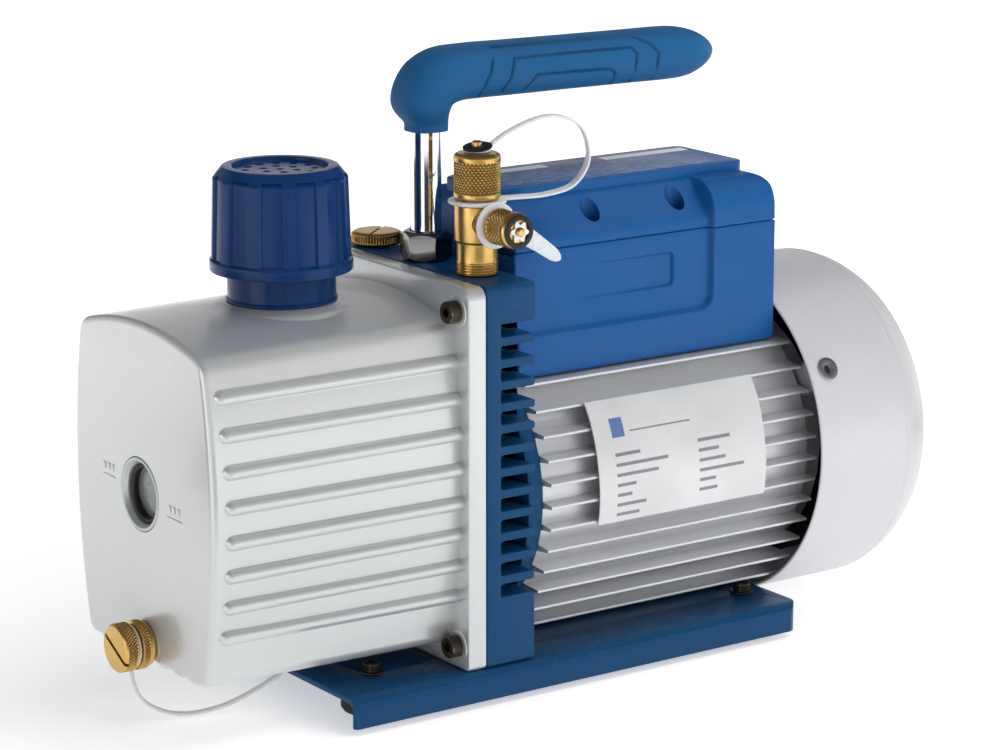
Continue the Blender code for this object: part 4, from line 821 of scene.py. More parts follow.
def socket_screw(name, node, at, axis, head_r=4.25, head_h=2.7, z0=2.6, hexr=2.0, depth=2.2, shank_r=2.5, shank=-17.5, washer=None, mat="screw_black"):
    """Cap screw with a knurled rim, a hexagon socket and its shank."""
    def knurl(a, r, h):
        if r > head_r - 0.2 and z0 + 0.4 < h < z0 + head_h - 0.7:
            return r - 0.12 * (0.5 + 0.5 * math.cos(a * 36)), h
        return r, h
    prof = [(0, z0 + head_h), (head_r, z0 + head_h), (head_r, z0), (shank_r, z0), (shank_r, shank), (0, shank)]
    prof = dense(soften(prof, 0.45, 3), 0.7)
    bm = bmesh.new()
    lathe_bm(bm, prof, at, axis, 108, False, knurl)
    head = new_object(name, bm, 35)
    u, v, w = basis(axis)
    bm = bmesh.new()
    ring0, ring1 = [], []
    for k in range(6):
        a = math.radians(60 * k + 12)
        d = (u * math.cos(a) + v * math.sin(a)) * hexr * 0.001
        ring0.append(P(*at) + d + w * (z0 + head_h - depth) * 0.001)
        ring1.append(P(*at) + d + w * (z0 + head_h + 2) * 0.001)
    loft_bm(bm, [ring0, ring1])
    hexcut = new_object("hex", bm)
    carve(head, hexcut, sharp=35)
    objs = [head]
    if washer:
        objs.append(lathe("washer", [(shank_r + 0.25, washer[1]), (washer[0], washer[1]), (washer[0], washer[2]), (shank_r + 0.25, washer[2])], at, axis, 64, r=0.2))
    ob = join(objs, name) if len(objs) > 1 else head
    ob.name = name
    shade(ob, 35)
    return put(ob, "root", mat, [node])


for zn, z in zip(("lower", "upper"), SC_Z):
    for yn, s in (("near", -1), ("far", 1)):
        socket_screw(f"flange_screw_{zn}_{yn}", f"tank_screw_{zn}_{yn}", (-FLANGE, s * SC_Y, z), "-X", z0=0.45, head_h=4.6, depth=2.8, shank=-17.5)

# ---------------------------------------------------------------------------------------- drain valve and cap
DR, DX = 9.3, -128.5
d0 = TANK_FRONT - DX
body = lathe("drain_valve", [(1.8, 8.6), (5.2, 8.6), (5.6, 8.2), (5.6, 2.2), (8.2, 2.0), (8.6, 1.5), (8.6, 0.35), (3.9, 0.35), (3.9, -7.4), (1.8, -7.4)],
             (TANK_FRONT, 0, DRAIN_Z), "-X", 72, r=0.25)
put(body, "root", "brass", ["drain_valve_body"])


def knurled(name, prof, at, axis, seg, bands, count, depth=0.28, diamond=True, pitch=1.05, step=0.26, sharp=50):
    """A turned body with straight or diamond knurling between given heights."""
    prof = dense(prof, 6.0)
    out = [prof[0]]
    for a, b in zip(prof, prof[1:]):
        inband = abs(a[0] - b[0]) < 0.02 and any(lo <= (a[1] + b[1]) / 2 <= hi for lo, hi, r in bands)
        L = math.hypot(b[0] - a[0], b[1] - a[1])
        k = max(1, int(math.ceil(L / step))) if inband else 1
        out += [(a[0] + (b[0] - a[0]) * i / k, a[1] + (b[1] - a[1]) * i / k) for i in range(1, k + 1)]

    def disp(a, r, h):
        for lo, hi, rr in bands:
            if lo <= h <= hi and abs(r - rr) < 0.06:
                fade = smooth(min(h - lo, hi - h) / 0.35)
                if diamond:
                    p = a * count
                    q = 2 * math.pi * h / pitch
                    v1 = abs(math.sin((p + q) / 2))
                    v2 = abs(math.sin((p - q) / 2))
                    g = min(v1, v2)
                    return r - depth * fade * (1 - g ** 0.8) * 1.0, h
                g = 0.5 + 0.5 * math.cos(a * count)
                return r - depth * fade * g, h
        return r, h
    bm = bmesh.new()
    lathe_bm(bm, out, at, axis, seg, prof[0][0] > 1e-6, disp)
    return new_object(name, bm, sharp)


prof = soften([(0, d0), (DR - 0.9, d0), (DR, d0 - 0.9), (DR, 7.7), (7.2, 7.5), (7.2, 5.7), (DR, 5.5), (DR, 2.3), (5.9, 2.3), (5.9, 9.6), (0, 9.6)], 0.18, 2)
KB = [(7.9, d0 - 1.1, DR), (2.5, 5.3, DR)]
cap = knurled("drain_cap_knurled", prof, (TANK_FRONT, 0, DRAIN_Z), "-X", 440, KB, 44, depth=0.5, pitch=1.5, step=0.25)
slotc = block("slotc", (-1.9, -14, -0.75), (1.9, 14, 0.75))
slotc.matrix_world = Matrix.Translation(P(DX - 0.25, 0, DRAIN_Z)) @ Matrix.Rotation(math.radians(29), 4, "X") @ Matrix.Translation(-P(0, 0, 0))
carve(cap, slotc, sharp=50)
mark_knurl(cap, (TANK_FRONT, 0, DRAIN_Z), "-X", KB, 0.5)
put(cap, "drain_cap", "brass", ["drain_cap"])


def ribbon(pts, width, thick, normal, end_width=None, rnd=0.3, round_end=False):
    """Closed band mesh along a path, with rounded long edges; returns bmesh rings as world points."""
    rings = []
    for i, p in enumerate(pts):
        d = (pts[min(i + 1, len(pts) - 1)] - pts[max(i - 1, 0)]).normalized()
        w = Vector(normal)
        w = (w - d * w.dot(d)).normalized()
        t = d.cross(w)
        f = i / (len(pts) - 1)
        wd = width + ((end_width or width) - width) * f
        if round_end:
            left = (1 - f) * (len(pts) - 1)
            if left < 5:
                wd *= math.sqrt(max(0.06, 1 - ((5 - left) / 5) ** 2 * 0.94))
        cur = []
        for u, v in soften([(-wd / 2, -thick / 2), (wd / 2, -thick / 2), (wd / 2, thick / 2), (-wd / 2, thick / 2)], thick * 0.42, 3, True):
            q = p + w * u + t * v
            cur.append(P(q.x, q.y, q.z))
        rings.append(cur)
    return rings


tz = TANK_FRONT - 6.6
bm = bmesh.new()
pts = catmull([(tz, 0.0, DRAIN_Z - 7.6), (tz + 0.1, -0.4, 6.4), (tz + 0.7, -1.0, 2.2), (tz + 3.6, -2.5, -4.3), (tz + 11.3, -5.5, -9.5),
               (tz + 22, -8.5, -11.2), (tz + 35, -11, -9.5), (tz + 48, -13, -4.8), (tz + 56.5, -14.5, -0.4)], 8)
loft_bm(bm, ribbon(pts, 3.3, 1.25, (0.25, 1, 0), 2.8))
lathe_bm(bm, soften([(7.5, 0.5), (8.4, 0.5), (8.4, -0.5), (7.5, -0.5)], 0.3, 3, True), (tz, 0, DRAIN_Z), "-X", 72, True)
band = new_object("drain_strap", bm, 40)
put(band, "drain_ring", "tether_plastic", ["drain_tether"])

# ---------------------------------------------------------------------------------------- exhaust neck and cap
CZ0, CZ1, CR = 152.0, 191.3, 26.9
neck = lathe("filler_neck_tube", [(10.8, 166.0), (17.4, 166.0), (17.6, 151.2), (20.4, 151.0), (20.4, 142.2), (21.0, 141.6), (21.0, PAD_Z + 0.25),
                                  (13.6, PAD_Z + 0.25), (13.6, 131.5), (10.8, 131.5)], (CAP_X, 0, 0), "Z", 128, r=0.4)
put(neck, "root", "cap_plastic", ["filler_neck"])


def cap_disp(a, r, h):
    """Twelve shallow flat-bottomed panels round the cap."""
    if r < 24.3 or h < CZ0 + 4.0 or h > CZ1 - 0.8:
        return r, h
    deg = (math.degrees(a) - 20.8) % 30.0
    deg = min(deg, 30.0 - deg)
    side = 1 - smooth((deg - 8.2) / 0.9)
    low = smooth((h - (CZ0 + 4.4)) / 0.45)
    return r - 1.05 * side * low, h


prof = [(0, CZ1 - 1.7), (17.7, CZ1 - 1.7), (17.9, CZ1 - 0.2), (18.6, CZ1), (21.7, CZ1), (25.3, CZ1 - 4.4), (26.25, CZ0 + 5.0), (CR, CZ0 + 4.2),
        (CR, CZ0 + 0.2), (18.0, CZ0), (18.1, 167.6), (23.0, 167.6), (23.0, CZ1 - 3.6), (0, CZ1 - 3.6)]
prof = soften(prof, 0.5, 3)
out = [prof[0]]
for a, b in zip(prof, prof[1:]):
    L = math.hypot(b[0] - a[0], b[1] - a[1])
    k = max(1, int(L / 0.45)) if min(a[0], b[0]) > 21 and min(a[1], b[1]) > CZ0 + 3.5 and max(a[0], b[0]) > 24 and L < 60 and not (a[0] < 24 and b[0] < 24) else 1
    if k > 1 and L > 12:
        # the long wall needs detail only at the foot of the panels
        for i in range(1, 13):
            out.append((a[0] + (b[0] - a[0]) * i / 14, a[1] + (b[1] - a[1]) * i / 14))
        for i in range(1, 15):
            f = 12 / 14 + (2 / 14) * i / 14
            out.append((a[0] + (b[0] - a[0]) * f, a[1] + (b[1] - a[1]) * f))
        continue
    out += [(a[0] + (b[0] - a[0]) * i / k, a[1] + (b[1] - a[1]) * i / k) for i in range(1, k + 1)]
bm = bmesh.new()
lathe_bm(bm, out, (CAP_X, 0, 0), "Z", 480, False, cap_disp)
cap = new_object("vent_cap", bm, 30)
vents = [cyl("v", 1.55, -6, 3, (CAP_X, 0, CZ1), "Z", 24)]
for rr, cnt, ph in ((6.6, 6, 0.2), (12.9, 12, 0.1)):
    for k in range(cnt):
        a = 2 * math.pi * k / cnt + ph
        vents.append(cyl("v", 1.55, -6, 3, (CAP_X + rr * math.cos(a), rr * math.sin(a), CZ1), "Z", 24))
carve(cap, join(vents, "vents"), sharp=30)
put(cap, "exhaust_cap", "cap_plastic", ["exhaust_cap"])

# ---------------------------------------------------------------------------------------- base plate, feet, screws
SHAFT_Z = 61.0
FOOT_X, FOOT_Y = (-38.0, 141.0), 35.0


def base_section(d):
    h, b, t, lip = 59.5 - d, 4.5, 2.0, 11.5 - d
    pts = [(h, -lip)] + arc(h - b + d * 0, -b - d, b, 0, 90, 10) + arc(-h + b, -b - d, b, 90, 180, 10) + [(-h, -lip), (-h + t, -lip)]
    pts += arc(-h + b, -b - d, b - t, 180, 90, 10) + arc(h - b, -b - d, b - t, 90, 0, 10) + [(h - t, -lip)]
    return pts


bm = bmesh.new()
prof = soften(base_section(0.0), 0.35, 2, True)
loft_bm(bm, [[P(x, u, v) for u, v in prof] for x in (-61.0, 152.0)])
base = new_object("base_sheet", bm, 30)
corner = []
for sx, x in ((-1, -61.0), (1, 152.0)):                   # rounded plan corners
    for s in (-1, 1):
        r = 7.0 if sx > 0 else 3.0
        cx, cy = x - sx * r, s * (59.5 - r)
        a0 = {(-1, -1): 180, (-1, 1): 90, (1, -1): 270, (1, 1): 0}[(sx, s)]
        loop = arc(cx, cy, r, a0, a0 + 90, 10) + [(x + sx * 3, s * (59.5 + 3)) if True else None]
        # corner wedge outside the arc
        e0, e1 = loop[0], loop[10]
        wedge = loop[:11] + [(e1[0] + (3 * sx if abs(e1[0] - x) < 1e-6 else 0), e1[1] + (3 * s if abs(e1[1] - s * 59.5) < 1e-6 else 0)),
                             (x + sx * 3, s * 62.5),
                             (e0[0] + (3 * sx if abs(e0[0] - x) < 1e-6 else 0), e0[1] + (3 * s if abs(e0[1] - s * 59.5) < 1e-6 else 0))]
        corner.append(plate("w", [wedge], -14.0, 3.0, "XY"))
holes = [cyl("h", 2.8, -4, 4, (x, s * FOOT_Y, 0), "Z", 24) for x in FOOT_X for s in (-1, 1)]
carve(base, *corner, *holes, sharp=30)
bevel_mod(base, 0.3, 2, 50, 35)
put(base, "root", "blue_paint", ["base_plate"])

for ex, x in zip(("front", "rear"), FOOT_X):
    for sy, s in (("near", -1), ("far", 1)):
        foot = lathe(f"rubber_foot_{ex}_{sy}", [(0, -11.5), (2.7, -11.5), (2.7, -2.35), (10.2, -2.35), (10.6, -3.4), (11.6, -9.5), (12.0, -12.4), (11.0, -14.0),
                                                (6.0, -14.0), (5.4, -13.4), (0, -13.4)], (x, s * FOOT_Y, 0), "Z", 72, r=0.5, n=3)
        put(foot, "root", "foot_rubber", [f"foot_{ex}_{sy}"])
        socket_screw(f"foot_bolt_{ex}_{sy}", f"foot_screw_{ex}_{sy}", (x, s * FOOT_Y, 0), "Z", head_r=3.5, hexr=1.6, z0=1.0, head_h=3.2, depth=2.0, shank_r=2.25, shank=-10.4,
                     washer=(4.6, 0.95, 0.3))

# ---------------------------------------------------------------------------------------- cast pump body
slab = plate("body_slab", [corners(1.6, 2.4, z0=0.35)], 0.0, 22.0, "YZ", bevel=0.6, res=2)
slots = []
for i in range(13):
    z = 27.6 + i * 8.4
    z0, z1, fl = z - 0.35, z + 4.9, 1.55
    loop = arc(7.1, z1 - 0.9, 0.9, 90, 180, 4) + arc(7.1, z0 + 0.9, 0.9, 180, 270, 4)
    loop += [(22.0 - fl + fl * math.sin(math.radians(a)), z0 - fl * (1 - math.cos(math.radians(a)))) for a in range(0, 91, 15)] + [(26.0, z0 - fl)]
    loop += [(26.0, z1 + fl)] + [(22.0 - fl + fl * math.sin(math.radians(a)), z1 + fl * (1 - math.cos(math.radians(a)))) for a in range(90, -1, -15)]
    for s in (-1, 1):
        bms = bmesh.new()
        loft_bm(bms, [[P(u, s * y, v) for u, v in loop] for y in (45.0, 60.0)])
        slots.append(new_object("s", bms))
carve(slab, join(slots, "slots"), sharp=30)
# the solid web behind each slot steps down once, so the fins read as separate teeth
steps = []
for i in range(13):
    z = 27.6 + i * 8.4
    for s in (-1, 1):
        y0, y1 = sorted((s * 41.5, s * 46.0))
        steps.append(block("s", (14.5, y0, z + 0.9), (26.0, y1, z + 4.0), 0.0))
carve(slab, join(steps, "steps"), sharp=30)
bevel_mod(slab, 0.55, 3, 40, 32)
ports = [cyl("p", 17.8, -8, 14, (15.0, 0, SHAFT_Z), "X", 64), cyl("p", 9.4, -8, 24, (0.0, 0, SHAFT_Z), "X", 48), cyl("p", 7.9, -20, 4, (11.0, -34.6, 148.0), "Z", 48),
         cyl("p", 5.2, -16, 4, (11.0, 35.0, 148.0), "Z", 32), cyl("p", 6.4, -26, 4, (11.0, 0, 148.0), "Z", 40)]
ports += [cyl("p", 2.9, -1, 16, (0, s * SC_Y, z), "X", 24) for s in (-1, 1) for z in SC_Z]
carve(slab, *ports, sharp=32)
# round adapter: a disc and its rim, smaller than the fin tips of the motor beside it
adapter = lathe("adapter", [(18.5, 27.3), (50.0, 27.3), (54.6, 27.3), (55.3, 26.6), (55.3, 20.5), (18.5, 20.5)], (0, 0, SHAFT_Z), "X", 144, r=0.5, n=3)
body = join([slab, adapter], "cast_body")
shade(body, 32)
put(body, "root", "blue_paint", ["pump_body"])

# ---------------------------------------------------------------------------------------- motor housing
CORE, BORE, NF, PITCH, FIN_Z0 = 54.0, 48.3, 12, 8.84, 6.4
M0, M1 = 27.8, 158.0


def fin_tip(z):
    """Radius the fin tips reach; the low fins stand out a little further."""
    r = 59.9 + 0.0021 * max(0.0, SHAFT_Z - z) ** 2
    return math.sqrt(max(r * r - (z - SHAFT_Z) ** 2, 1.0))


def core_y(z):
    v = CORE ** 2 - (z - SHAFT_Z) ** 2
    return max(math.sqrt(v) if v > 0 else 0.0, 25.5)


def motor_half():
    half = [(18.0, SHAFT_Z - math.sqrt(CORE ** 2 - 18 ** 2)), (18.0, 0.6), (24.2, 0.6), (25.2, 1.6)]
    zp = None
    for i in range(NF):
        z = FIN_Z0 + i * PITCH
        if zp is not None:                                 # the core between two fins keeps its round shape
            za, zb = zp + 1.25, z - 1.25
            half += [(core_y(za + (zb - za) * k / 6), za + (zb - za) * k / 6) for k in range(1, 6)]
        half += [(core_y(z - 1.25), z - 1.25), (fin_tip(z), z - 0.62), (fin_tip(z), z + 0.62), (core_y(z + 1.25), z + 1.25)]
        zp = z
    top = math.degrees(math.asin((half[-1][1] - SHAFT_Z) / CORE))
    half += arc(0, SHAFT_Z, CORE, top, 90, 14)[1:]
    return half


half = motor_half()
outline = soften(half + [(-u, v) for u, v in reversed(half[:-1])], 0.5, 3, True)
housing = plate("finned_housing", [outline, list(reversed(circle(0, SHAFT_Z, BORE, 120)))], M0, M1, "YZ", bevel=0.0, sharp=24)
put(housing, "root", "fin_alu", ["motor_housing"])

# rating plate wrapped on the fin tips, with its long sides free between them
a0, a1 = 180 - 34.6, 180 + 11.0
FT = 60.5
X0P, X1P = 49.6, 131.0
bm = bmesh.new()
NXP, NAP = 40, 48


def plate_pt(i, j, r):
    fx, fa = i / NXP, j / NAP
    x = X0P + (X1P - X0P) * fx
    a = math.radians(a0 + (a1 - a0) * fa)
    lift = 0.35 * (math.sin(fx * math.pi * 2.2) * 0.25) + 0.25 * smooth((abs(fx - 0.5) - 0.42) / 0.08)
    rr = r + max(0, lift) * (0.6 + 0.4 * math.sin(fa * 9))
    return P(x, rr * math.cos(a), SHAFT_Z + rr * math.sin(a))


grid_o = [[bm.verts.new(plate_pt(i, j, FT + 0.6)) for j in range(NAP + 1)] for i in range(NXP + 1)]
grid_i = [[bm.verts.new(plate_pt(i, j, FT + 0.1)) for j in range(NAP + 1)] for i in range(NXP + 1)]
for g in (grid_o, grid_i):
    for i in range(NXP):
        for j in range(NAP):
            bm.faces.new((g[i][j], g[i + 1][j], g[i + 1][j + 1], g[i][j + 1]))
rim = [(i, 0) for i in range(NXP)] + [(NXP, j) for j in range(NAP)] + [(i, NAP) for i in range(NXP, 0, -1)] + [(0, j) for j in range(NAP, 0, -1)]
for (i, j), (i2, j2) in zip(rim, rim[1:] + rim[:1]):
    bm.faces.new((grid_o[i][j], grid_i[i][j], grid_i[i2][j2], grid_o[i2][j2]))
put(new_object("rating_sheet", bm, 40), "root", "plate_alu", ["rating_plate"])

# ---------------------------------------------------------------------------------------- fan cover
C0, CC, C1, CRR, CRI = 154.0, 200.0, 215.0, 68.5, 67.3
prof = [(0, C1), (58.0, C1), (61.2, C1 - 0.7), (63.2, C1 - 3.2), (66.3, C1 - 8.2), (68.0, CC + 2.2), (68.35, CC + 0.6), (68.0, CC - 0.4), (CRR, CC - 1.6), (CRR, C0 + 0.6),
        (CRR - 0.3, C0), (CRI + 0.2, C0), (CRI, C0 + 0.5), (CRI, CC + 1.0), (65.2, C1 - 7.6), (61.8, C1 - 2.6), (58.0, C1 - 1.2), (0, C1 - 1.2)]
cover = lathe("cover_shell", prof, (0, 0, SHAFT_Z), "X", 192, r=1.0, n=4, sharp=40)
slotsg = []


def capsule(r0, r1, w, a, x0, x1):
    loop = arc(r1 - w, 0, w, -90, 90, 10) + arc(r0 + w, 0, w, 90, 270, 10)
    ca, sa = math.cos(a), math.sin(a)
    bmc = bmesh.new()
    loft_bm(bmc, [[P(x, u * ca - v * sa, SHAFT_Z + u * sa + v * ca) for u, v in loop] for x in (x0, x1)])
    return new_object("c", bmc)


for k in range(8):
    slotsg.append(capsule(14.0, 30.0, 3.4, 2 * math.pi * (k + 0.5) / 8, C1 - 6, C1 + 3))
for k in range(8):
    slotsg.append(capsule(35.0, 54.0, 3.4, 2 * math.pi * (k + 0.5) / 8, C1 - 6, C1 + 3))
carve(cover, join(slotsg, "grille"), sharp=38)
screw_holes = []
for a in (30.0, 150.0, 270.0):
    bmh = bmesh.new()
    d = Vector((0, math.cos(math.radians(a)), math.sin(math.radians(a))))
    u, v, w = basis(d)
    c = P(M1 + 5.3, 0, SHAFT_Z)
    loft_bm(bmh, [[c + (w * h + (u * math.cos(t) + v * math.sin(t)) * 2.1) * 0.001 for t in [2 * math.pi * k / 24 for k in range(24)]] for h in (60.0, 76.0)])
    screw_holes.append(new_object("h", bmh))
carve(cover, *screw_holes, sharp=38)
put(cover, "root", "cover_sheet", ["fan_cover"])

for nm, a in zip(("far", "near", "bottom"), (30.0, 150.0, 270.0)):
    d = Vector((0, math.cos(math.radians(a)), math.sin(math.radians(a))))
    rr = CRR + 0.2
    at = (M1 + 5.3, rr * d.y, SHAFT_Z + rr * d.z)
    sc = lathe(f"cover_screw_{nm}", [(0, 2.4), (1.4, 2.35), (2.6, 1.8), (3.25, 0.9), (3.25, 0.5), (1.8, 0.4), (1.8, -8.4), (0, -8.4)], at, tuple(d), 48, r=0.25)
    u, v, w = basis(d)
    bmx = bmesh.new()
    for ang in (0.4, 0.4 + math.pi / 2):
        p, q2 = u * math.cos(ang) + v * math.sin(ang), -u * math.sin(ang) + v * math.cos(ang)
        o = P(*at)
        loft_bm(bmx, [[o + (p * sx * f + q2 * sy * 0.34 * g + w * h) * 0.001 for sx, sy in ((-1.7, -1), (1.7, -1), (1.7, 1), (-1.7, 1))] for f, g, h in ((0.45, 0.7, 1.3), (1, 1, 3.2))])
    cross = new_object("x", bmx)
    carve(sc, cross, sharp=40)
    wa = lathe("w", [(1.9, 0.5), (4.6, 0.5), (4.75, 0.1), (1.9, 0.1)], at, tuple(d), 56, r=0.12)
    sc = join([sc, wa], f"cover_screw_{nm}")
    shade(sc, 38)
    put(sc, "root", "zinc", [f"fan_cover_screw_{nm}"])

# ---------------------------------------------------------------------------------------- terminal box
BX0, BX1, BH = 27.0, 152.5, 38.6
BZ0, SEAM, SHOULDER, TOP = 105.3, 153.7, 163.0, 175.6


def sdf_round(x, z, x0, x1, z0, z1, r):
    cx, cz = (x0 + x1) / 2, (z0 + z1) / 2
    qx, qz = abs(x - cx) - (x1 - x0) / 2 + r, abs(z - cz) - (z1 - z0) / 2 + r
    return math.hypot(max(qx, 0), max(qz, 0)) + min(max(qx, qz), 0) - r


def panel(x, z):
    """1 inside the sunken panel of the long sides, which runs out to the left and over the shoulder."""
    return smooth(-sdf_round(x, z, -60.0, 121.6, 121.0, 300.0, 6.5) / 1.9)


def side_depth(x, z):
    d = 2.5 * panel(x, z)
    d += smooth(-sdf_round(x, z, 30.0, 103.4, 132.3, 146.3, 2.4) / 0.9) * (1.35 * smooth((x - 45.0) / 58.0))
    return d


def spaced(lo, hi, coarse, spots):
    """Grid values from lo to hi, closely spaced about the given (centre, half width, step) spots."""
    v = {round(lo, 3), round(hi, 3)}
    k = lo
    while k < hi:
        v.add(round(k, 3))
        k += coarse
    for c, h, st in spots:
        k = c - h
        while k <= c + h:
            if lo < k < hi:
                v.add(round(k, 3))
            k += st
    out = []
    for q in sorted(v):
        if not out or q - out[-1] > 0.12:
            out.append(q)
    out[-1] = hi
    return out


BXS = spaced(BX0, BX1, 3.0, ((118.5, 4.6, 0.27), (102.4, 2.2, 0.27), (BX1 - 1.5, 1.5, 0.3), (BX0 + 1.5, 1.5, 0.3)))


def inset2d(pts, d):
    if d < 1e-5:
        return pts
    n, out = len(pts), []
    for i, p in enumerate(pts):
        a, b = Vector(pts[i - 1]), Vector(pts[(i + 1) % n])
        t = (b - a)
        if t.length < 1e-9:
            out.append(p)
            continue
        t.normalize()
        out.append((p[0] - t.y * d, p[1] + t.x * d))
    return out


ZT = spaced(BZ0 + 1.2, SEAM - 0.22, 3.2, ((123.6, 3.9, 0.3), (133.4, 1.8, 0.28), (145.2, 1.8, 0.28)))


def tray_section(x, end):
    right = [(31.5, BZ0), (34.5, BZ0), (BH - 1.2, BZ0), (BH - 0.4, BZ0 + 0.3)]
    for z in ZT:
        right.append((BH - side_depth(x, z), z))
    right += [(BH - side_depth(x, SEAM) - 0.08, SEAM - 0.08), (BH - side_depth(x, SEAM) - 0.28, SEAM - 0.01), (BH - 3.4, SEAM)]
    right += [(20.0, SEAM)]
    pts = right + [(-u, v) for u, v in reversed(right)]
    saddle = arc(0, SHAFT_Z, 54.35, 180 - math.degrees(math.acos(31.0 / 54.35)), math.degrees(math.acos(31.0 / 54.35)), 24)
    pts += saddle
    return inset2d(pts, end)


def end_round(x, x0, x1, r):
    d = min(x - x0, x1 - x)
    return r - math.sqrt(max(0.0, r * r - (r - d) ** 2)) if d < r else 0.0


bm = bmesh.new()
loft_bm(bm, [[P(x, u, v) for u, v in tray_section(x, end_round(x, BX0, BX1, 1.1))] for x in BXS])
tray = new_object("box_tray", bm, 30)
inner = block("i", (BX0 + 2.6, -33.0, SHAFT_Z + 54 + 2.6), (BX1 - 2.6, 33.0, SEAM + 5), 0.0)
carve(tray, inner, block("i", (58.0, 30, 126.0), (86.0, 45, 147.0)), block("i", (98.0, 30, 126.0), (112.0, 45, 147.0)), sharp=30)
put(tray, "root", "box_plastic", ["terminal_box"])

PH = 21.6


def lid_profile(x):
    """Height limit along the box: chamfered front end, rounded rear end."""
    r = 7.0
    z = 400.0
    if x > BX1 - r:
        z = 172.0 - r + math.sqrt(max(0.0, r * r - (x - (BX1 - r)) ** 2))
    if x < BX0 + 7.0:
        z = min(z, 167.6 + (x - BX0) * 0.66)
    return z


def resample(pts, n):
    """n + 1 points spread evenly along a polyline."""
    cum = [0.0]
    for p, q2 in zip(pts, pts[1:]):
        cum.append(cum[-1] + math.hypot(q2[0] - p[0], q2[1] - p[1]))
    out, j = [], 0
    for k in range(n + 1):
        s = cum[-1] * k / n
        while j < len(pts) - 2 and cum[j + 1] < s:
            j += 1
        f = (s - cum[j]) / max(1e-9, cum[j + 1] - cum[j])
        out.append((pts[j][0] + (pts[j + 1][0] - pts[j][0]) * f, pts[j][1] + (pts[j + 1][1] - pts[j][1]) * f))
    return out


ZB = SEAM + 0.28
FRAME_LINE = resample([(BH, ZB)] + [(27.0 + 11.6 * math.cos(math.radians(a)), 159.0 + 12.9 * math.sin(math.radians(a))) for a in range(0, 91, 3)] + [(21.0, 172.0)], 44)
PANEL_LINE = resample(soften([(BH - 2.5, ZB), (BH - 2.5, 158.2), (23.7, 171.4), (21.0, 171.7)], 3.2, 6), 44)
LXS = spaced(BX0, BX1, 4.0, ((120.5, 2.6, 0.26), (BX1 - 4.5, 4.5, 0.5), (BX0 + 4.0, 4.0, 0.7), (68.0, 5.0, 0.9), (109.0, 5.0, 0.9)))


def lid_section(x, end):
    zp = lid_profile(x)
    m = panel(x, 200.0)
    d = side_depth(x, SEAM + 1)
    right = [(30.0, ZB), (BH - 3.4, ZB), (BH - d - 0.35, ZB)]
    for (fu, fv), (pu, pv) in zip(FRAME_LINE[1:], PANEL_LINE[1:]):
        right.append((fu + (pu - fu) * m, min(fv + (pv - fv) * m, zp)))
    right += [(19.0, min(172.0, zp)), (8.0, min(172.0, zp))]
    pts = right + [(-u, v) for u, v in reversed(right)]
    return inset2d(pts, end)


bm = bmesh.new()
loft_bm(bm, [[P(x, u, v) for u, v in lid_section(x, end_round(x, BX0, BX1, 1.3))] for x in LXS])
lid = new_object("box_lid_shell", bm, 30)
WELL_X, WELL_Y = (67.3, 108.6), 28.9
wells = []
for x in WELL_X:
    for s in (-1, 1):
        wells.append(cyl("w", 4.1, -9.5, 12, (x, s * WELL_Y, 166.0), "Z", 64))
carve(lid, *wells, sharp=30)
PX0, PX1, CH = BX0 + 4.2, BX1 - 2.6, 9.5
loop = [(PX0, -PH + CH * 0.55), (PX0 + CH, -PH), (PX1 - 3.2, -PH), (PX1, -PH + 2.6), (PX1, PH - 2.6), (PX1 - 3.2, PH), (PX0 + CH, PH), (PX0, PH - CH * 0.55)]
top = plate("top_plate", [soften(loop, 1.6, 4, True)], 169.0, TOP, "XY", bevel=0.8, res=3)
lid = join([lid, top], "box_lid")
shade(lid, 30)
put(lid, "root", "box_plastic", ["terminal_box_lid"])
for i, x in enumerate(WELL_X):
    for sn, s in (("near", -1), ("far", 1)):
        sc = lathe(f"box_screw_{sn}_{i + 1}", [(0, 2.2), (1.4, 2.15), (2.6, 1.4), (3.1, 0.4), (3.1, 0), (0, 0)], (x, s * WELL_Y, 156.6), "Z", 40, r=0.2)
        o = P(x, s * WELL_Y, 156.6)
        for ang in (0.5, 0.5 + math.pi / 2):
            p, q2 = Vector((math.cos(ang), math.sin(ang), 0)), Vector((-math.sin(ang), math.cos(ang), 0))
            bmx = bmesh.new()
            loft_bm(bmx, [[o + (p * sx * f + q2 * sy * 0.4 + Vector((0, 0, h))) * 0.001 for sx, sy in ((-1.7, -1), (1.7, -1), (1.7, 1), (-1.7, 1))] for f, h in ((0.5, 1.0), (1, 3.0))])
            carve(sc, new_object("x", bmx), sharp=40)
        put(sc, "root", "screw_black")
inset = [(34.5, -14.2), (41.5, -18.9), (137.5, -18.9), (146.0, 12.0), (146.0, 18.9), (41.5, 18.9), (34.5, 14.2)]
label = plate("lid_label", [soften(inset, 1.2, 4, True)], TOP - 0.05, TOP + 0.16, "XY", bevel=0.06, res=1)
put(label, "root", "top_label")

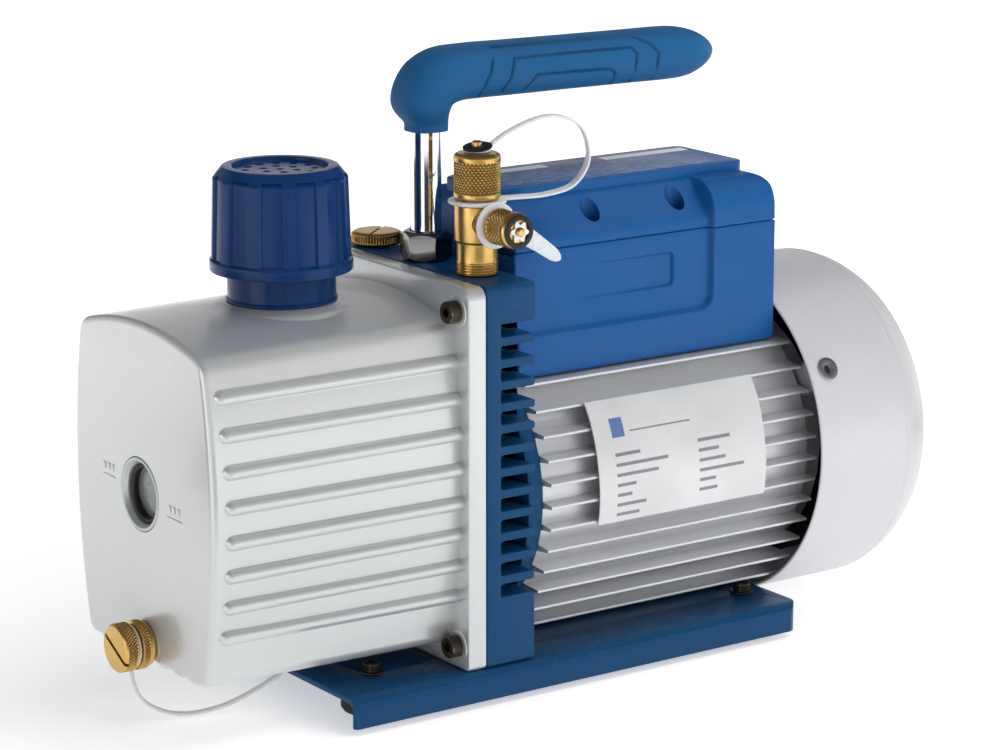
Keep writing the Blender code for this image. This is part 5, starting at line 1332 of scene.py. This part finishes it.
# ---------------------------------------------------------------------------------------- power inlet and switch (far side)
frame_z0, frame_z1 = 123.5, 149.5
shell = plate("inlet_frame", [rounded_rect(55.5, 123.5, 88.5, 149.5, 3.0)], -(BH + 1.9), -(BH - 0.6), "XZ", bevel=0.0)
bpy.data.objects.remove(shell, do_unlink=True)
outer = block("inlet_frame", (55.5, BH - 0.6, 123.5), (88.5, BH + 1.9, 149.5), 0.9, 3)
rear = block("r", (58.4, 22.0, 126.4), (85.6, BH, 146.6), 0.6, 2)
bmh = bmesh.new()
hexa = [(61.0, 129.0), (83.0, 129.0), (83.0, 140.2), (79.2, 144.0), (64.8, 144.0), (61.0, 140.2)]
loft_bm(bmh, [[P(u, y, v) for u, v in soften(hexa, 0.6, 2, True)] for y in (25.0, BH + 5)])
socket = new_object("s", bmh)
carve(outer, rear, op="UNION")
carve(outer, socket, sharp=35)
pins = [block("p", (x - 1.0, 24.5, z - 2.0), (x + 1.0, BH - 1.2, z + 2.0), 0.3, 2) for x, z in ((66.0, 134.5), (78.0, 134.5), (72.0, 139.6))]
inlet = join([outer], "inlet_frame")
shade(inlet, 35)
put(inlet, "root", "black_plastic", ["power_inlet"])
put(join(pins, "inlet_pins"), "root", "zinc")
SY, SZ = BH - 4.0, 136.5
bm = bmesh.new()
t = math.radians(-8)
rock = []
for u, v in [(-4.0, -6.0), (3.4, -9.3), (6.5, -9.5)] + [(6.5 - 2.0 * math.cos(math.pi * k / 16 - math.pi / 2) ** 2, -9.5 + 19.0 * k / 16) for k in range(1, 16)] + [(6.5, 9.5), (3.4, 9.3), (-4.0, 6.0)]:
    rock.append((u * math.cos(t) - v * math.sin(t), u * math.sin(t) + v * math.cos(t)))
rock = soften(rock, 0.5, 2, True)
loft_bm(bm, [[P(105.0 + x, SY + u * k + (0 if k == 1 else 0), SZ + v * k) for u, v in rock] for x, k in ((-6.6, 0.985), (-6.3, 1.0), (6.3, 1.0), (6.6, 0.985))])
rocker = new_object("rocker_cap", bm, 30)
put(rocker, "switch", "black_plastic", ["rocker_switch"])
bezel = plate("switch_bezel", [rounded_rect(95.8, 124.0, 114.2, 149.0, 2.0), list(reversed(rounded_rect(98.0, 126.0, 112.0, 147.0, 1.0)))], 0, 1, "XZ")
for v in bezel.data.vertices:
    pass
bezel.location = (0, 0, 0)
me = bezel.data
ymin = min(v.co.y for v in me.vertices)
for v in me.vertices:
    v.co.y = (BH + (0.0 if v.co.y - ymin < 1e-6 else 1.3)) * 0.001
bevel_mod(bezel, 0.35, 2, 40, 35)
put(bezel, "root", "black_plastic")

# ---------------------------------------------------------------------------------------- handle
HX, HR = 11.0, 6.0


def sweep_tube(name, pts, r, seg=48, caps=True, sharp=40):
    bm = bmesh.new()
    rings = []
    for i, p in enumerate(pts):
        d = (pts[min(i + 1, len(pts) - 1)] - pts[max(i - 1, 0)]).normalized()
        w = Vector((0, 1, 0))
        tt = d.cross(w).normalized()
        rr = r(i) if callable(r) else r
        rings.append([P(*(p + (w * math.cos(a) + tt * math.sin(a)) * rr)) for a in [2 * math.pi * k / seg for k in range(seg)]])
    loft_bm(bm, rings, caps)
    return new_object(name, bm, sharp)


path = [Vector((HX, 0, 124.0)), Vector((HX, 0, 124.6)), Vector((HX, 0, 160.0)), Vector((HX, 0, 200.0))]
path += [Vector((HX + 7 - 7 * math.cos(math.radians(a)), 0, 211.5 + 7 * math.sin(math.radians(a)))) for a in range(0, 91, 9)]
path += [Vector((60.0, 0, 218.5)), Vector((136.4, 0, 218.5)), Vector((137.0, 0, 218.5))]
post = sweep_tube("chrome_post", path, lambda i: 5.4 if i in (0, len(path) - 1) else HR, 72)
put(post, "root", "chrome", ["handle_post"])
# hexagon lock nut with chamfered corners, made as the overlap of a hexagon and a turned body
hexo = plate("hx", [circle(0, 0, 17.6 / math.sqrt(3), 6, 0.30)], 148.3, 159.4, "XY")
hexo.location = Vector((HX, 0, 0)) * 0.001
bpy.context.view_layer.update()
nut = lathe("lock_nut", [(6.35, 159.4), (7.9, 159.4), (10.25, 157.7), (10.25, 149.9), (8.6, 148.3), (6.35, 148.3)], (HX, 0, 0), "Z", 96, r=0.25)
carve(nut, hexo, op="INTERSECT", sharp=30)
bevel_mod(nut, 0.25, 3, 30, 30)
put(nut, "root", "nut_chrome", ["handle_nut"])

# rubber grip: smooth section along the bend, three nested grooves pressed into each side
GX0 = 28.0
ST = [(3.4, 198.0, 19.1, 198.0, 7.9), (3.3, 200.9, 19.1, 200.9, 8.1), (1.4, 203.2, 18.8, 203.4, 9.6),
      (-0.8, 206.4, 18.9, 205.9, 11.2), (-1.4, 211.0, 20.1, 208.0, 12.0), (0.8, 218.0, 23.4, 208.6, 12.4),
      (6.0, 224.4, 27.4, 208.7, 12.5), (15.5, 228.8, 32.0, 208.6, 12.4), (29.0, 229.7, 36.5, 208.6, 12.4),
      (48.0, 229.5, 48.0, 208.5, 12.3), (75.0, 229.2, 75.0, 208.4, 12.2), (104.0, 228.9, 104.0, 208.2, 12.2), (126.0, 228.7, 126.0, 208.1, 12.1),
      (133.0, 227.9, 133.0, 208.9, 11.5), (139.0, 225.9, 139.0, 210.9, 9.6), (143.6, 223.2, 143.6, 213.3, 6.8), (147.0, 220.3, 147.0, 215.9, 3.4),
      (148.6, 218.8, 148.6, 217.9, 0.9)]


def station_curve(cols, per):
    """Catmull-Rom through station rows, giving rows of the same width."""
    C = [[2 * a - b for a, b in zip(cols[0], cols[1])]] + [list(c) for c in cols] + [[2 * a - b for a, b in zip(cols[-1], cols[-2])]]
    out = []
    for i in range(1, len(C) - 2):
        a, b, c, d = C[i - 1], C[i], C[i + 1], C[i + 2]
        L = max(math.hypot(c[0] - b[0], c[1] - b[1]), math.hypot(c[2] - b[2], c[3] - b[3]))
        k = max(2, int(math.ceil(L / per)))
        # centripetal weighting keeps long spans from overshooting beside short ones
        for j in range(k):
            t = j / k
            Lp = max(1e-3, math.hypot(b[0] - a[0], b[1] - a[1]) or L)
            Ln = max(1e-3, math.hypot(d[0] - c[0], d[1] - c[1]) or L)
            m0 = [(x2 - x0) / (1 + Lp / L) if L else 0 for x0, x2 in zip(a, c)]
            m1 = [(x3 - x1) / (1 + Ln / L) if L else 0 for x1, x3 in zip(b, d)]
            h00, h10, h01, h11 = 2 * t ** 3 - 3 * t ** 2 + 1, t ** 3 - 2 * t ** 2 + t, -2 * t ** 3 + 3 * t ** 2, t ** 3 - t ** 2
            out.append([h00 * p + h10 * u + h01 * q2 + h11 * v for p, q2, u, v in zip(b, c, m0, m1)])
    out.append(list(C[-2]))
    return out


rows = station_curve(ST, 0.6)
GROOVES = (((29.2, 8.9, 210.6), (31.1, 12.2, 216.4), (32.6, 12.3, 218.9), (33.9, 11.5, 223.8), (36.4, 6.6, 228.4), (68.5, 6.7, 228.3), (101.5, 7.3, 228.0),
            (109.5, 11.2, 224.5), (113.2, 12.2, 220.7), (112.8, 12.0, 215.5), (112.0, 8.0, 210.0)),
           ((39.3, 10.0, 211.6), (42.4, 12.3, 217.1), (44.1, 11.4, 224.2), (71.5, 11.4, 224.1), (100.0, 11.4, 223.9), (102.6, 12.1, 221.4),
            (102.0, 12.2, 216.5), (101.5, 8.0, 210.0)),
           ((49.7, 9.4, 211.0), (54.6, 12.2, 216.9), (70.9, 12.2, 216.6), (89.3, 12.1, 216.2), (92.3, 11.8, 214.2), (92.4, 7.9, 209.9)))
SEGS = [(Vector(p), Vector(q2) - Vector(p)) for g in GROOVES for p, q2 in zip(g, g[1:])]


def groove(x, y, z):
    """0 to 1 inside the three nested grooves pressed into each side."""
    p, best = Vector((x, abs(y), z)), 9.0
    for o, v in SEGS:
        f = max(0.0, min(1.0, (p - o).dot(v) / v.length_squared))
        dd = (p - o - v * f)
        if abs(dd.x) < 1.2 and abs(dd.z) < 1.6:
            best = min(best, math.hypot(dd.x, math.hypot(dd.y * 0.35, dd.z)))
    return 1 - smooth(best / 0.85)


bm = bmesh.new()
SEG = 150
rings = []
for xo, zo, xi, zi, hwid in rows:
    outer_p, inner_p = Vector((xo, 0, zo)), Vector((xi, 0, zi))
    mid, up = (outer_p + inner_p) / 2, (outer_p - inner_p).normalized()
    hh = (outer_p - inner_p).length / 2
    ring = []
    for i in range(SEG):
        a = 2 * math.pi * i / SEG
        c, s = math.cos(a), math.sin(a)
        e = 0.78
        u = math.copysign(abs(c) ** e, c) * hh
        v = math.copysign(abs(s) ** e, s) * hwid
        p = mid + up * u + Vector((0, 1, 0)) * v
        if abs(v) > 2.5 and 26 < p.x < 116:
            g = groove(*p) * 0.8
            if g > 0:
                nrm = (up * (u / max(hh, 0.1) ** 2) + Vector((0, 1, 0)) * (v / max(hwid, 0.1) ** 2)).normalized()
                p = p - nrm * g
        ring.append(P(*p))
    rings.append(ring)
loft_bm(bm, rings)
grip = new_object("rubber_grip", bm, 60)
bore = sweep_tube("bore", [Vector((HX, 0, 190.0))] + path[3:-3] + [Vector((139.0, 0, 218.5))], HR + 0.35, 48)
carve(grip, bore, sharp=60)
mark(grip, lambda x, y, z: groove(x, y, z) if 26 < x < 116 and abs(y) > 3 else 0.0)
put(grip, "root", "grip_rubber", ["handle_grip"])

# ---------------------------------------------------------------------------------------- gas ballast knob
KX, KY, KR = 11.0, 35.0, 10.0
prof = soften([(0, 5.6), (KR - 1.6, 5.6), (KR - 0.9, 5.3), (KR, 4.7), (KR, 1.3), (KR - 1.0, 0.5), (4.8, 0.5), (4.8, -14.0), (0, -14.0)], 0.2, 2)
knob = knurled("ballast_knob", prof, (KX, KY, 148.0), "Z", 432, [(1.5, 4.5, KR)], 54, depth=0.5, diamond=False, step=0.4)
ks = block("ks", (-13, -0.55, -1.2), (13, 0.55, 3.0))
ks.matrix_world = Matrix.Translation(P(KX, KY, 148.0 + 5.6)) @ Matrix.Rotation(math.radians(40), 4, "Z") @ Matrix.Translation(-P(0, 0, 0))
carve(knob, ks, sharp=45)
mark_knurl(knob, (KX, KY, 148.0), "Z", [(1.3, 4.7, KR)], 0.5)
put(knob, "gas_ballast", "brass", ["gas_ballast_knob"])

# ---------------------------------------------------------------------------------------- inlet fitting and its caps
FX, FY, SPZ = 11.0, -34.6, 168.5
rings_low = []
z = 148.35
prof = [(0, 191.0), (3.8, 191.0), (4.2, 190.6), (5.9, 188.6), (5.9, 175.2), (8.2, 175.0), (8.55, 174.6), (8.55, 161.4), (8.2, 160.9), (7.75, 160.5), (7.75, 153.4)]
for k in range(4):
    zz = 153.0 - k * 1.05
    prof += [(7.95, zz), (7.95, zz - 0.45), (7.5, zz - 0.7), (7.5, zz - 0.85)]
prof += [(8.05, 148.9), (7.7, 148.35), (7.45, 148.3), (7.45, 130.0), (0, 130.0)]
tee = lathe("tee_body", prof, (FX, FY, 0), "Z", 96, r=0.18, n=2)
branch = lathe("br", [(0, 25.0), (3.0, 25.0), (4.4, 23.4), (4.4, 11.6), (6.0, 11.4), (6.3, 11.0), (6.3, 6.0), (6.9, 4.0), (6.9, 0), (0, 0)], (FX, FY, SPZ), "-Y", 96, r=0.25)
carve(tee, branch, op="UNION", sharp=32)
carve(tee, cyl("c", 3.0, -20, 80, (FX, FY, 148.0), "Z", 32), cyl("c", 2.2, 0, 40, (FX, FY, SPZ), "-Y", 24), sharp=32)
put(tee, "root", "brass", ["inlet_tee"])

prof = soften([(0, 194.4), (7.6, 194.4), (8.5, 193.8), (8.9, 193.0), (8.9, 191.7), (8.85, 191.6), (8.85, 179.3), (8.9, 179.2), (8.9, 178.0), (8.6, 177.4), (7.8, 177.0), (6.3, 177.0), (6.3, 191.6), (0, 191.6)], 0.12, 2)
cap = knurled("top_cap_knurled", prof, (FX, FY, 0), "Z", 408, [(179.5, 191.4, 8.85)], 34, depth=0.62, pitch=1.95, step=0.27)
nub = lathe("n", [(0, 198.8), (1.5, 198.8), (1.95, 198.3), (1.95, 196.6), (1.6, 196.3), (1.6, 195.6), (2.0, 195.4), (2.0, 194.0), (0, 194.0)], (FX, FY, 0), "Z", 40, r=0.15)
cap = join([cap, nub], "top_cap_knurled")
shade(cap, 45)
mark_knurl(cap, (FX, FY, 0), "Z", [(179.5, 191.4, 8.85)], 0.6)
put(cap, "inlet_top_cap", "brass", ["inlet_cap_top"])


def tilted_ring(name, prof, at, axis_vec, seg=72):
    return lathe(name, prof, at, axis_vec, seg, r=0.15, closed=True)


tilt = Vector((-0.16, -0.10, 1.0)).normalized()
washer = tilted_ring("top_cap_washer", [(2.1, 0.45), (5.6, 0.35), (5.6, -0.25), (2.1, -0.35)], (FX + 0.2, FY, 196.35), tuple(tilt))
put(washer, "inlet_top_ring", "dark_gap")

# loop strap: a ring round the fitting and an eye round the nub on top of the cap, joined by a band
bm = bmesh.new()
pts = catmull([(FX + 8.9, FY, 175.95), (FX + 18.6, FY - 0.6, 175.6), (FX + 30.2, FY - 1.4, 175.5), (FX + 41.9, FY - 2.2, 177.8), (FX + 48.5, FY - 2.6, 184.8),
               (FX + 49.2, FY - 2.6, 192.5), (FX + 45.0, FY - 2.4, 200.9), (FX + 35.5, FY - 2.0, 205.0), (FX + 25.5, FY - 1.4, 204.7), (FX + 13.5, FY - 0.6, 200.8),
               (FX + 7.5, FY - 0.2, 197.6), (FX + 4.2, FY, 195.6)], 8)
loft_bm(bm, ribbon(pts, 4.3, 1.0, (0.25, 1, 0.1), 3.0))
lathe_bm(bm, soften([(6.4, 176.6), (11.0, 176.6), (11.0, 175.35), (6.4, 175.35)], 0.45, 3, True), (FX, FY, 0), "Z", 96, True)
lathe_bm(bm, soften([(2.3, 195.55), (5.0, 195.55), (5.0, 194.75), (2.3, 194.75)], 0.3, 3, True), (FX, FY, 0), "Z", 64, True)
strap = new_object("top_strap", bm, 45)
strap.data.materials.append(M["tether_plastic"])
P(FX, FY, 177.0)
P(FX, FY, 194.0)
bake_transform(strap)
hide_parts("inlet_tether_top")

prof = soften([(0, 26.9), (5.4, 26.9), (6.4, 26.4), (6.9, 25.6), (6.9, 24.0), (6.84, 23.9), (6.84, 15.0), (6.9, 14.8), (6.9, 13.8), (6.4, 13.2), (4.7, 13.2), (4.7, 25.4), (0, 25.4)], 0.14, 2)
cap = knurled("side_cap_knurled", prof, (FX, FY, SPZ), "-Y", 336, [(15.2, 23.7, 6.84)], 28, depth=0.55, pitch=1.8, step=0.26)
nub = lathe("n", [(0, 29.0), (1.3, 29.0), (1.75, 28.5), (1.75, 26.5), (0, 26.5)], (FX, FY, SPZ), "-Y", 40, r=0.15)
star = []
for k in range(60):                                      # pale star of the valve insert
    a = 2 * math.pi * k / 60
    rr = 3.4 + 0.75 * math.cos(a * 6 + 0.5)
    star.append((FX + rr * math.cos(a), SPZ + rr * math.sin(a)))
bms = bmesh.new()
loft_bm(bms, [[P(u, FY - y, v) for u, v in star] for y in (26.5, 27.75)])
starp = new_object("side_cap_star", bms, 30)
cap = join([cap, nub], "side_cap_knurled")
shade(cap, 45)
mark_knurl(cap, (FX, FY, SPZ), "-Y", [(15.2, 23.7, 6.84)], 0.55)
put(cap, "inlet_side_cap", "brass", ["inlet_cap_side"])
put(starp, "inlet_side_cap", "zinc")
washer = lathe("side_cap_washer", [(4.3, 27.6), (6.3, 27.5), (6.45, 26.9), (4.3, 26.95)], (FX, FY, SPZ), "-Y", 72, r=0.12)
put(washer, "inlet_side_ring", "dark_gap")

bm = bmesh.new()
pts = catmull([(FX + 4.2, FY - 12.4, SPZ - 0.6), (FX + 9.0, FY - 12.5, SPZ - 2.6), (FX + 14.5, FY - 12.6, SPZ - 6.0), (FX + 21.0, FY - 12.9, SPZ - 10.4), (FX + 28.8, FY - 13.2, SPZ - 16.0)], 10)
loft_bm(bm, ribbon(pts, 9.2, 1.0, (0.56, 0, 0.83), 4.8, round_end=True))
lathe_bm(bm, soften([(4.9, 12.95), (8.8, 12.95), (8.8, 11.85), (4.9, 11.85)], 0.35, 3, True), (FX, FY, SPZ), "-Y", 96, True)
put(new_object("side_strap", bm, 45), "inlet_side_ring", "tether_plastic", ["inlet_tether_side"])

# ---------------------------------------------------------------------------------------- carried-over inner parts
SLOTS = {s["node"]: s["material_slot"] for s in frame["record"]["subparts"]}
for node, ob in frame["nodes"].items():
    if ob.hide_render:
        continue
    ob.data.materials.clear()
    ob.data.materials.append(M[SLOTS[node]])
    md = ob.modifiers.new("edges", "BEVEL")
    md.width = 0.00025
    md.segments = 2
    md.limit_method = "ANGLE"
    md.angle_limit = math.radians(50)

# wire rings on the stator winding ends, lamination marks come from the surface
for side, x in (("front", 39.6), ("rear", 140.4)):
    bm = bmesh.new()
    for k in range(3):
        sec = circle(38.0 + k * 2.3, x + (0.5 if side == "rear" else -0.5) * (1 - k), 1.05, 12)
        lathe_bm(bm, sec, (0, 0, SHAFT_Z), "X", 96, True)
    put(new_object(f"winding_rows_{side}", bm, 0), "root", "enamel_wire")

# ---------------------------------------------------------------------------------------- stage, light, camera
bm = bmesh.new()
s = 6.0
for a, b in ((-s, -s), (s, -s), (s, s), (-s, s)):
    bm.verts.new((a, b, 0.0))
bm.verts.ensure_lookup_table()
bm.faces.new(bm.verts)
floor = new_object("floor", bm, 0)
CARDS = ((2.45, 3.10, 0.42, 1.15), (-2.36, -1.52, 0.42, 1.15), (-0.52, 0.10, 0.50, 1.15))
HX_W = 0.001 * (HX + OX)


def fm_dark(m):
    return m.mix(m.span(m.noise(3.0, 3.0), 0, 1), (0.02, 0.025, 0.035, 1), (0.03, 0.035, 0.05, 1))


fm = Mat("floor_paper")
sepf = fm.node("ShaderNodeSeparateXYZ")
fm.link(fm.co, sepf.inputs[0])
r2 = fm.math("ADD", fm.math("MULTIPLY", sepf.outputs["X"], sepf.outputs["X"]), fm.math("MULTIPLY", sepf.outputs["Y"], sepf.outputs["Y"]))
far = fm.span(fm.math("SQRT", r2), 0.48, 0.95, 0.14, 0.75)          # painted light: the floor glows, weakly by the pump and strongly far from it, so it turns white away from the pump
fm.set(Base_Color=fm.mix(fm.span(fm.noise(3.0, 3.0), 0, 1), (0.83, 0.83, 0.835, 1), (0.86, 0.86, 0.865, 1)), Roughness=0.8,
       Emission_Color=(1, 1, 1, 1), Emission_Strength=far)
SCENE.view_settings.view_transform = "Standard"
floor.data.materials.append(fm.m)

world = bpy.data.worlds.new("studio")
SCENE.world = world
world.use_nodes = True
wt = world.node_tree
bg = wt.nodes["Background"]
geo = wt.nodes.new("ShaderNodeTexCoord")
sep = wt.nodes.new("ShaderNodeSeparateXYZ")
wt.links.new(geo.outputs["Generated"], sep.inputs[0])
ramp = wt.nodes.new("ShaderNodeValToRGB")
ramp.color_ramp.interpolation = "EASE"
els = ramp.color_ramp.elements
els[0].position, els[0].color = 0.0, (0.8, 0.8, 0.8, 1)
els[1].position, els[1].color = 1.0, (0.16, 0.17, 0.19, 1)
for pos, c in ((0.5, 1.0), (0.57, 0.84), (0.64, 0.62), (0.72, 0.38), (0.80, 0.20)):
    e = els.new(pos)
    e.color = (c, c, c * 1.01, 1)
mr = wt.nodes.new("ShaderNodeMapRange")
mr.inputs["From Min"].default_value = -1
mr.inputs["From Max"].default_value = 1
wt.links.new(sep.outputs["Z"], mr.inputs["Value"])
wt.links.new(mr.outputs["Result"], ramp.inputs["Fac"])
# vertical dark cards behind the camera give polished metal something to mirror
ang = wt.nodes.new("ShaderNodeMath")
ang.operation = "ARCTAN2"
wt.links.new(sep.outputs["Y"], ang.inputs[0])
wt.links.new(sep.outputs["X"], ang.inputs[1])
cards = None
for centre, half, dark in ((-2.75, 0.20, 0.8), (-1.18, 0.05, 0.75), (-0.42, 0.13, 0.85), (0.55, 0.20, 0.85), (1.45, 0.16, 0.7), (-2.05, 0.06, 0.6)):
    d = wt.nodes.new("ShaderNodeMath")
    d.operation = "SUBTRACT"
    wt.links.new(ang.outputs[0], d.inputs[0])
    d.inputs[1].default_value = centre
    ab = wt.nodes.new("ShaderNodeMath")
    ab.operation = "ABSOLUTE"
    wt.links.new(d.outputs[0], ab.inputs[0])
    mr2 = wt.nodes.new("ShaderNodeMapRange")
    mr2.interpolation_type = "SMOOTHSTEP"
    mr2.inputs["From Min"].default_value = half * 0.6
    mr2.inputs["From Max"].default_value = half * 1.4
    mr2.inputs["To Min"].default_value = 1 - dark
    mr2.inputs["To Max"].default_value = 1.0
    wt.links.new(ab.outputs[0], mr2.inputs["Value"])
    if cards is None:
        cards = mr2.outputs["Result"]
    else:
        mul = wt.nodes.new("ShaderNodeMath")
        mul.operation = "MULTIPLY"
        wt.links.new(cards, mul.inputs[0])
        wt.links.new(mr2.outputs["Result"], mul.inputs[1])
        cards = mul.outputs[0]
mixc = wt.nodes.new("ShaderNodeMix")
mixc.data_type = "RGBA"
mixc.blend_type = "MULTIPLY"
ins = [q for q in mixc.inputs if q.enabled]
ins[0].default_value = 1.0
wt.links.new(ramp.outputs["Color"], ins[1])
wt.links.new(cards, ins[2])
lp = wt.nodes.new("ShaderNodeLightPath")
mix2 = wt.nodes.new("ShaderNodeMix")
mix2.data_type = "RGBA"
ins2 = [q for q in mix2.inputs if q.enabled]
wt.links.new(lp.outputs["Is Camera Ray"], ins2[0])
wt.links.new([q for q in mixc.outputs if q.enabled][0], ins2[1])
ins2[2].default_value = (1, 1, 1, 1)
wt.links.new([q for q in mix2.outputs if q.enabled][0], bg.inputs["Color"])
bg.inputs["Strength"].default_value = 0.82


def area(name, loc, target, size, power, size_y=None, col=(1, 1, 1)):
    ld = bpy.data.lights.new(name, "AREA")
    ld.energy = power
    ld.shape = "RECTANGLE"
    ld.size, ld.size_y = size, size_y or size
    ld.color = col
    ob = bpy.data.objects.new(name, ld)
    COLL.objects.link(ob)
    ob.location = loc
    ob.rotation_euler = (Vector(target) - Vector(loc)).to_track_quat("-Z", "Y").to_euler()
    return ob


for name, loc, size, power, size_y, mirrored in (("key", (0.60, -1.30, 0.75), 0.9, 6.8, 0.6, False), ("front_fill", (-1.25, -0.15, 0.30), 0.7, 1.6, 0.5, True),
                                                 ("shoulder", (0.80, -0.36, 1.15), 0.9, 5.0, 0.7, False), ("top_soft", (0.1, -0.25, 1.35), 1.0, 5.0, 1.0, False)):
    lamp = area(name, loc, (0, 0, 0.12), size, power, size_y)
    lamp.visible_glossy = mirrored                         # the soft boxes light the pump without streaks on its castings

# dark paper lying on the floor out of sight gives the polished post and nut something to mirror
for i, (a0, a1, r0, r1) in enumerate(CARDS):
    bm = bmesh.new()
    n = 24
    rows2 = [[bm.verts.new((HX_W + r * math.cos(a0 + (a1 - a0) * k / n), r * math.sin(a0 + (a1 - a0) * k / n), 0.0006 + 0.0002 * i)) for k in range(n + 1)]
             for r in (r0, r1)]
    for k in range(n):
        bm.faces.new((rows2[0][k], rows2[1][k], rows2[1][k + 1], rows2[0][k + 1]))
    card = new_object(f"card_{i}", bm, 0)
    cm = Mat(f"card_{i}")
    cm.set(Base_Color=fm_dark(cm), Roughness=0.8)
    card.data.materials.append(cm.m)
    card.visible_camera = card.visible_shadow = card.visible_diffuse = False

H, hr = 0.148, 0.1148
f, pitch, yaw = 3400.0, math.radians(13.6), math.radians(55.1)
F = Vector((math.cos(yaw) * math.cos(pitch), math.sin(yaw) * math.cos(pitch), -math.sin(pitch)))
R = Vector((math.sin(yaw), -math.cos(yaw), 0))
U = R.cross(F)
ray = F + R * ((487.5 - 500) / f) - U * ((669.5 - 375) / f)
corner_pt = Vector((OX * 0.001, -0.057, OZ * 0.001))
cd = bpy.data.cameras.new("camera")
cam = bpy.data.objects.new("camera", cd)
COLL.objects.link(cam)
cd.sensor_width = 36
cd.lens = f * 36 / 1000
cd.clip_end = 20
MM4 = Matrix((R, U, -F)).transposed().to_4x4()
MM4.translation = corner_pt - ray * (H / hr)
cam.matrix_world = MM4
SCENE.camera = cam
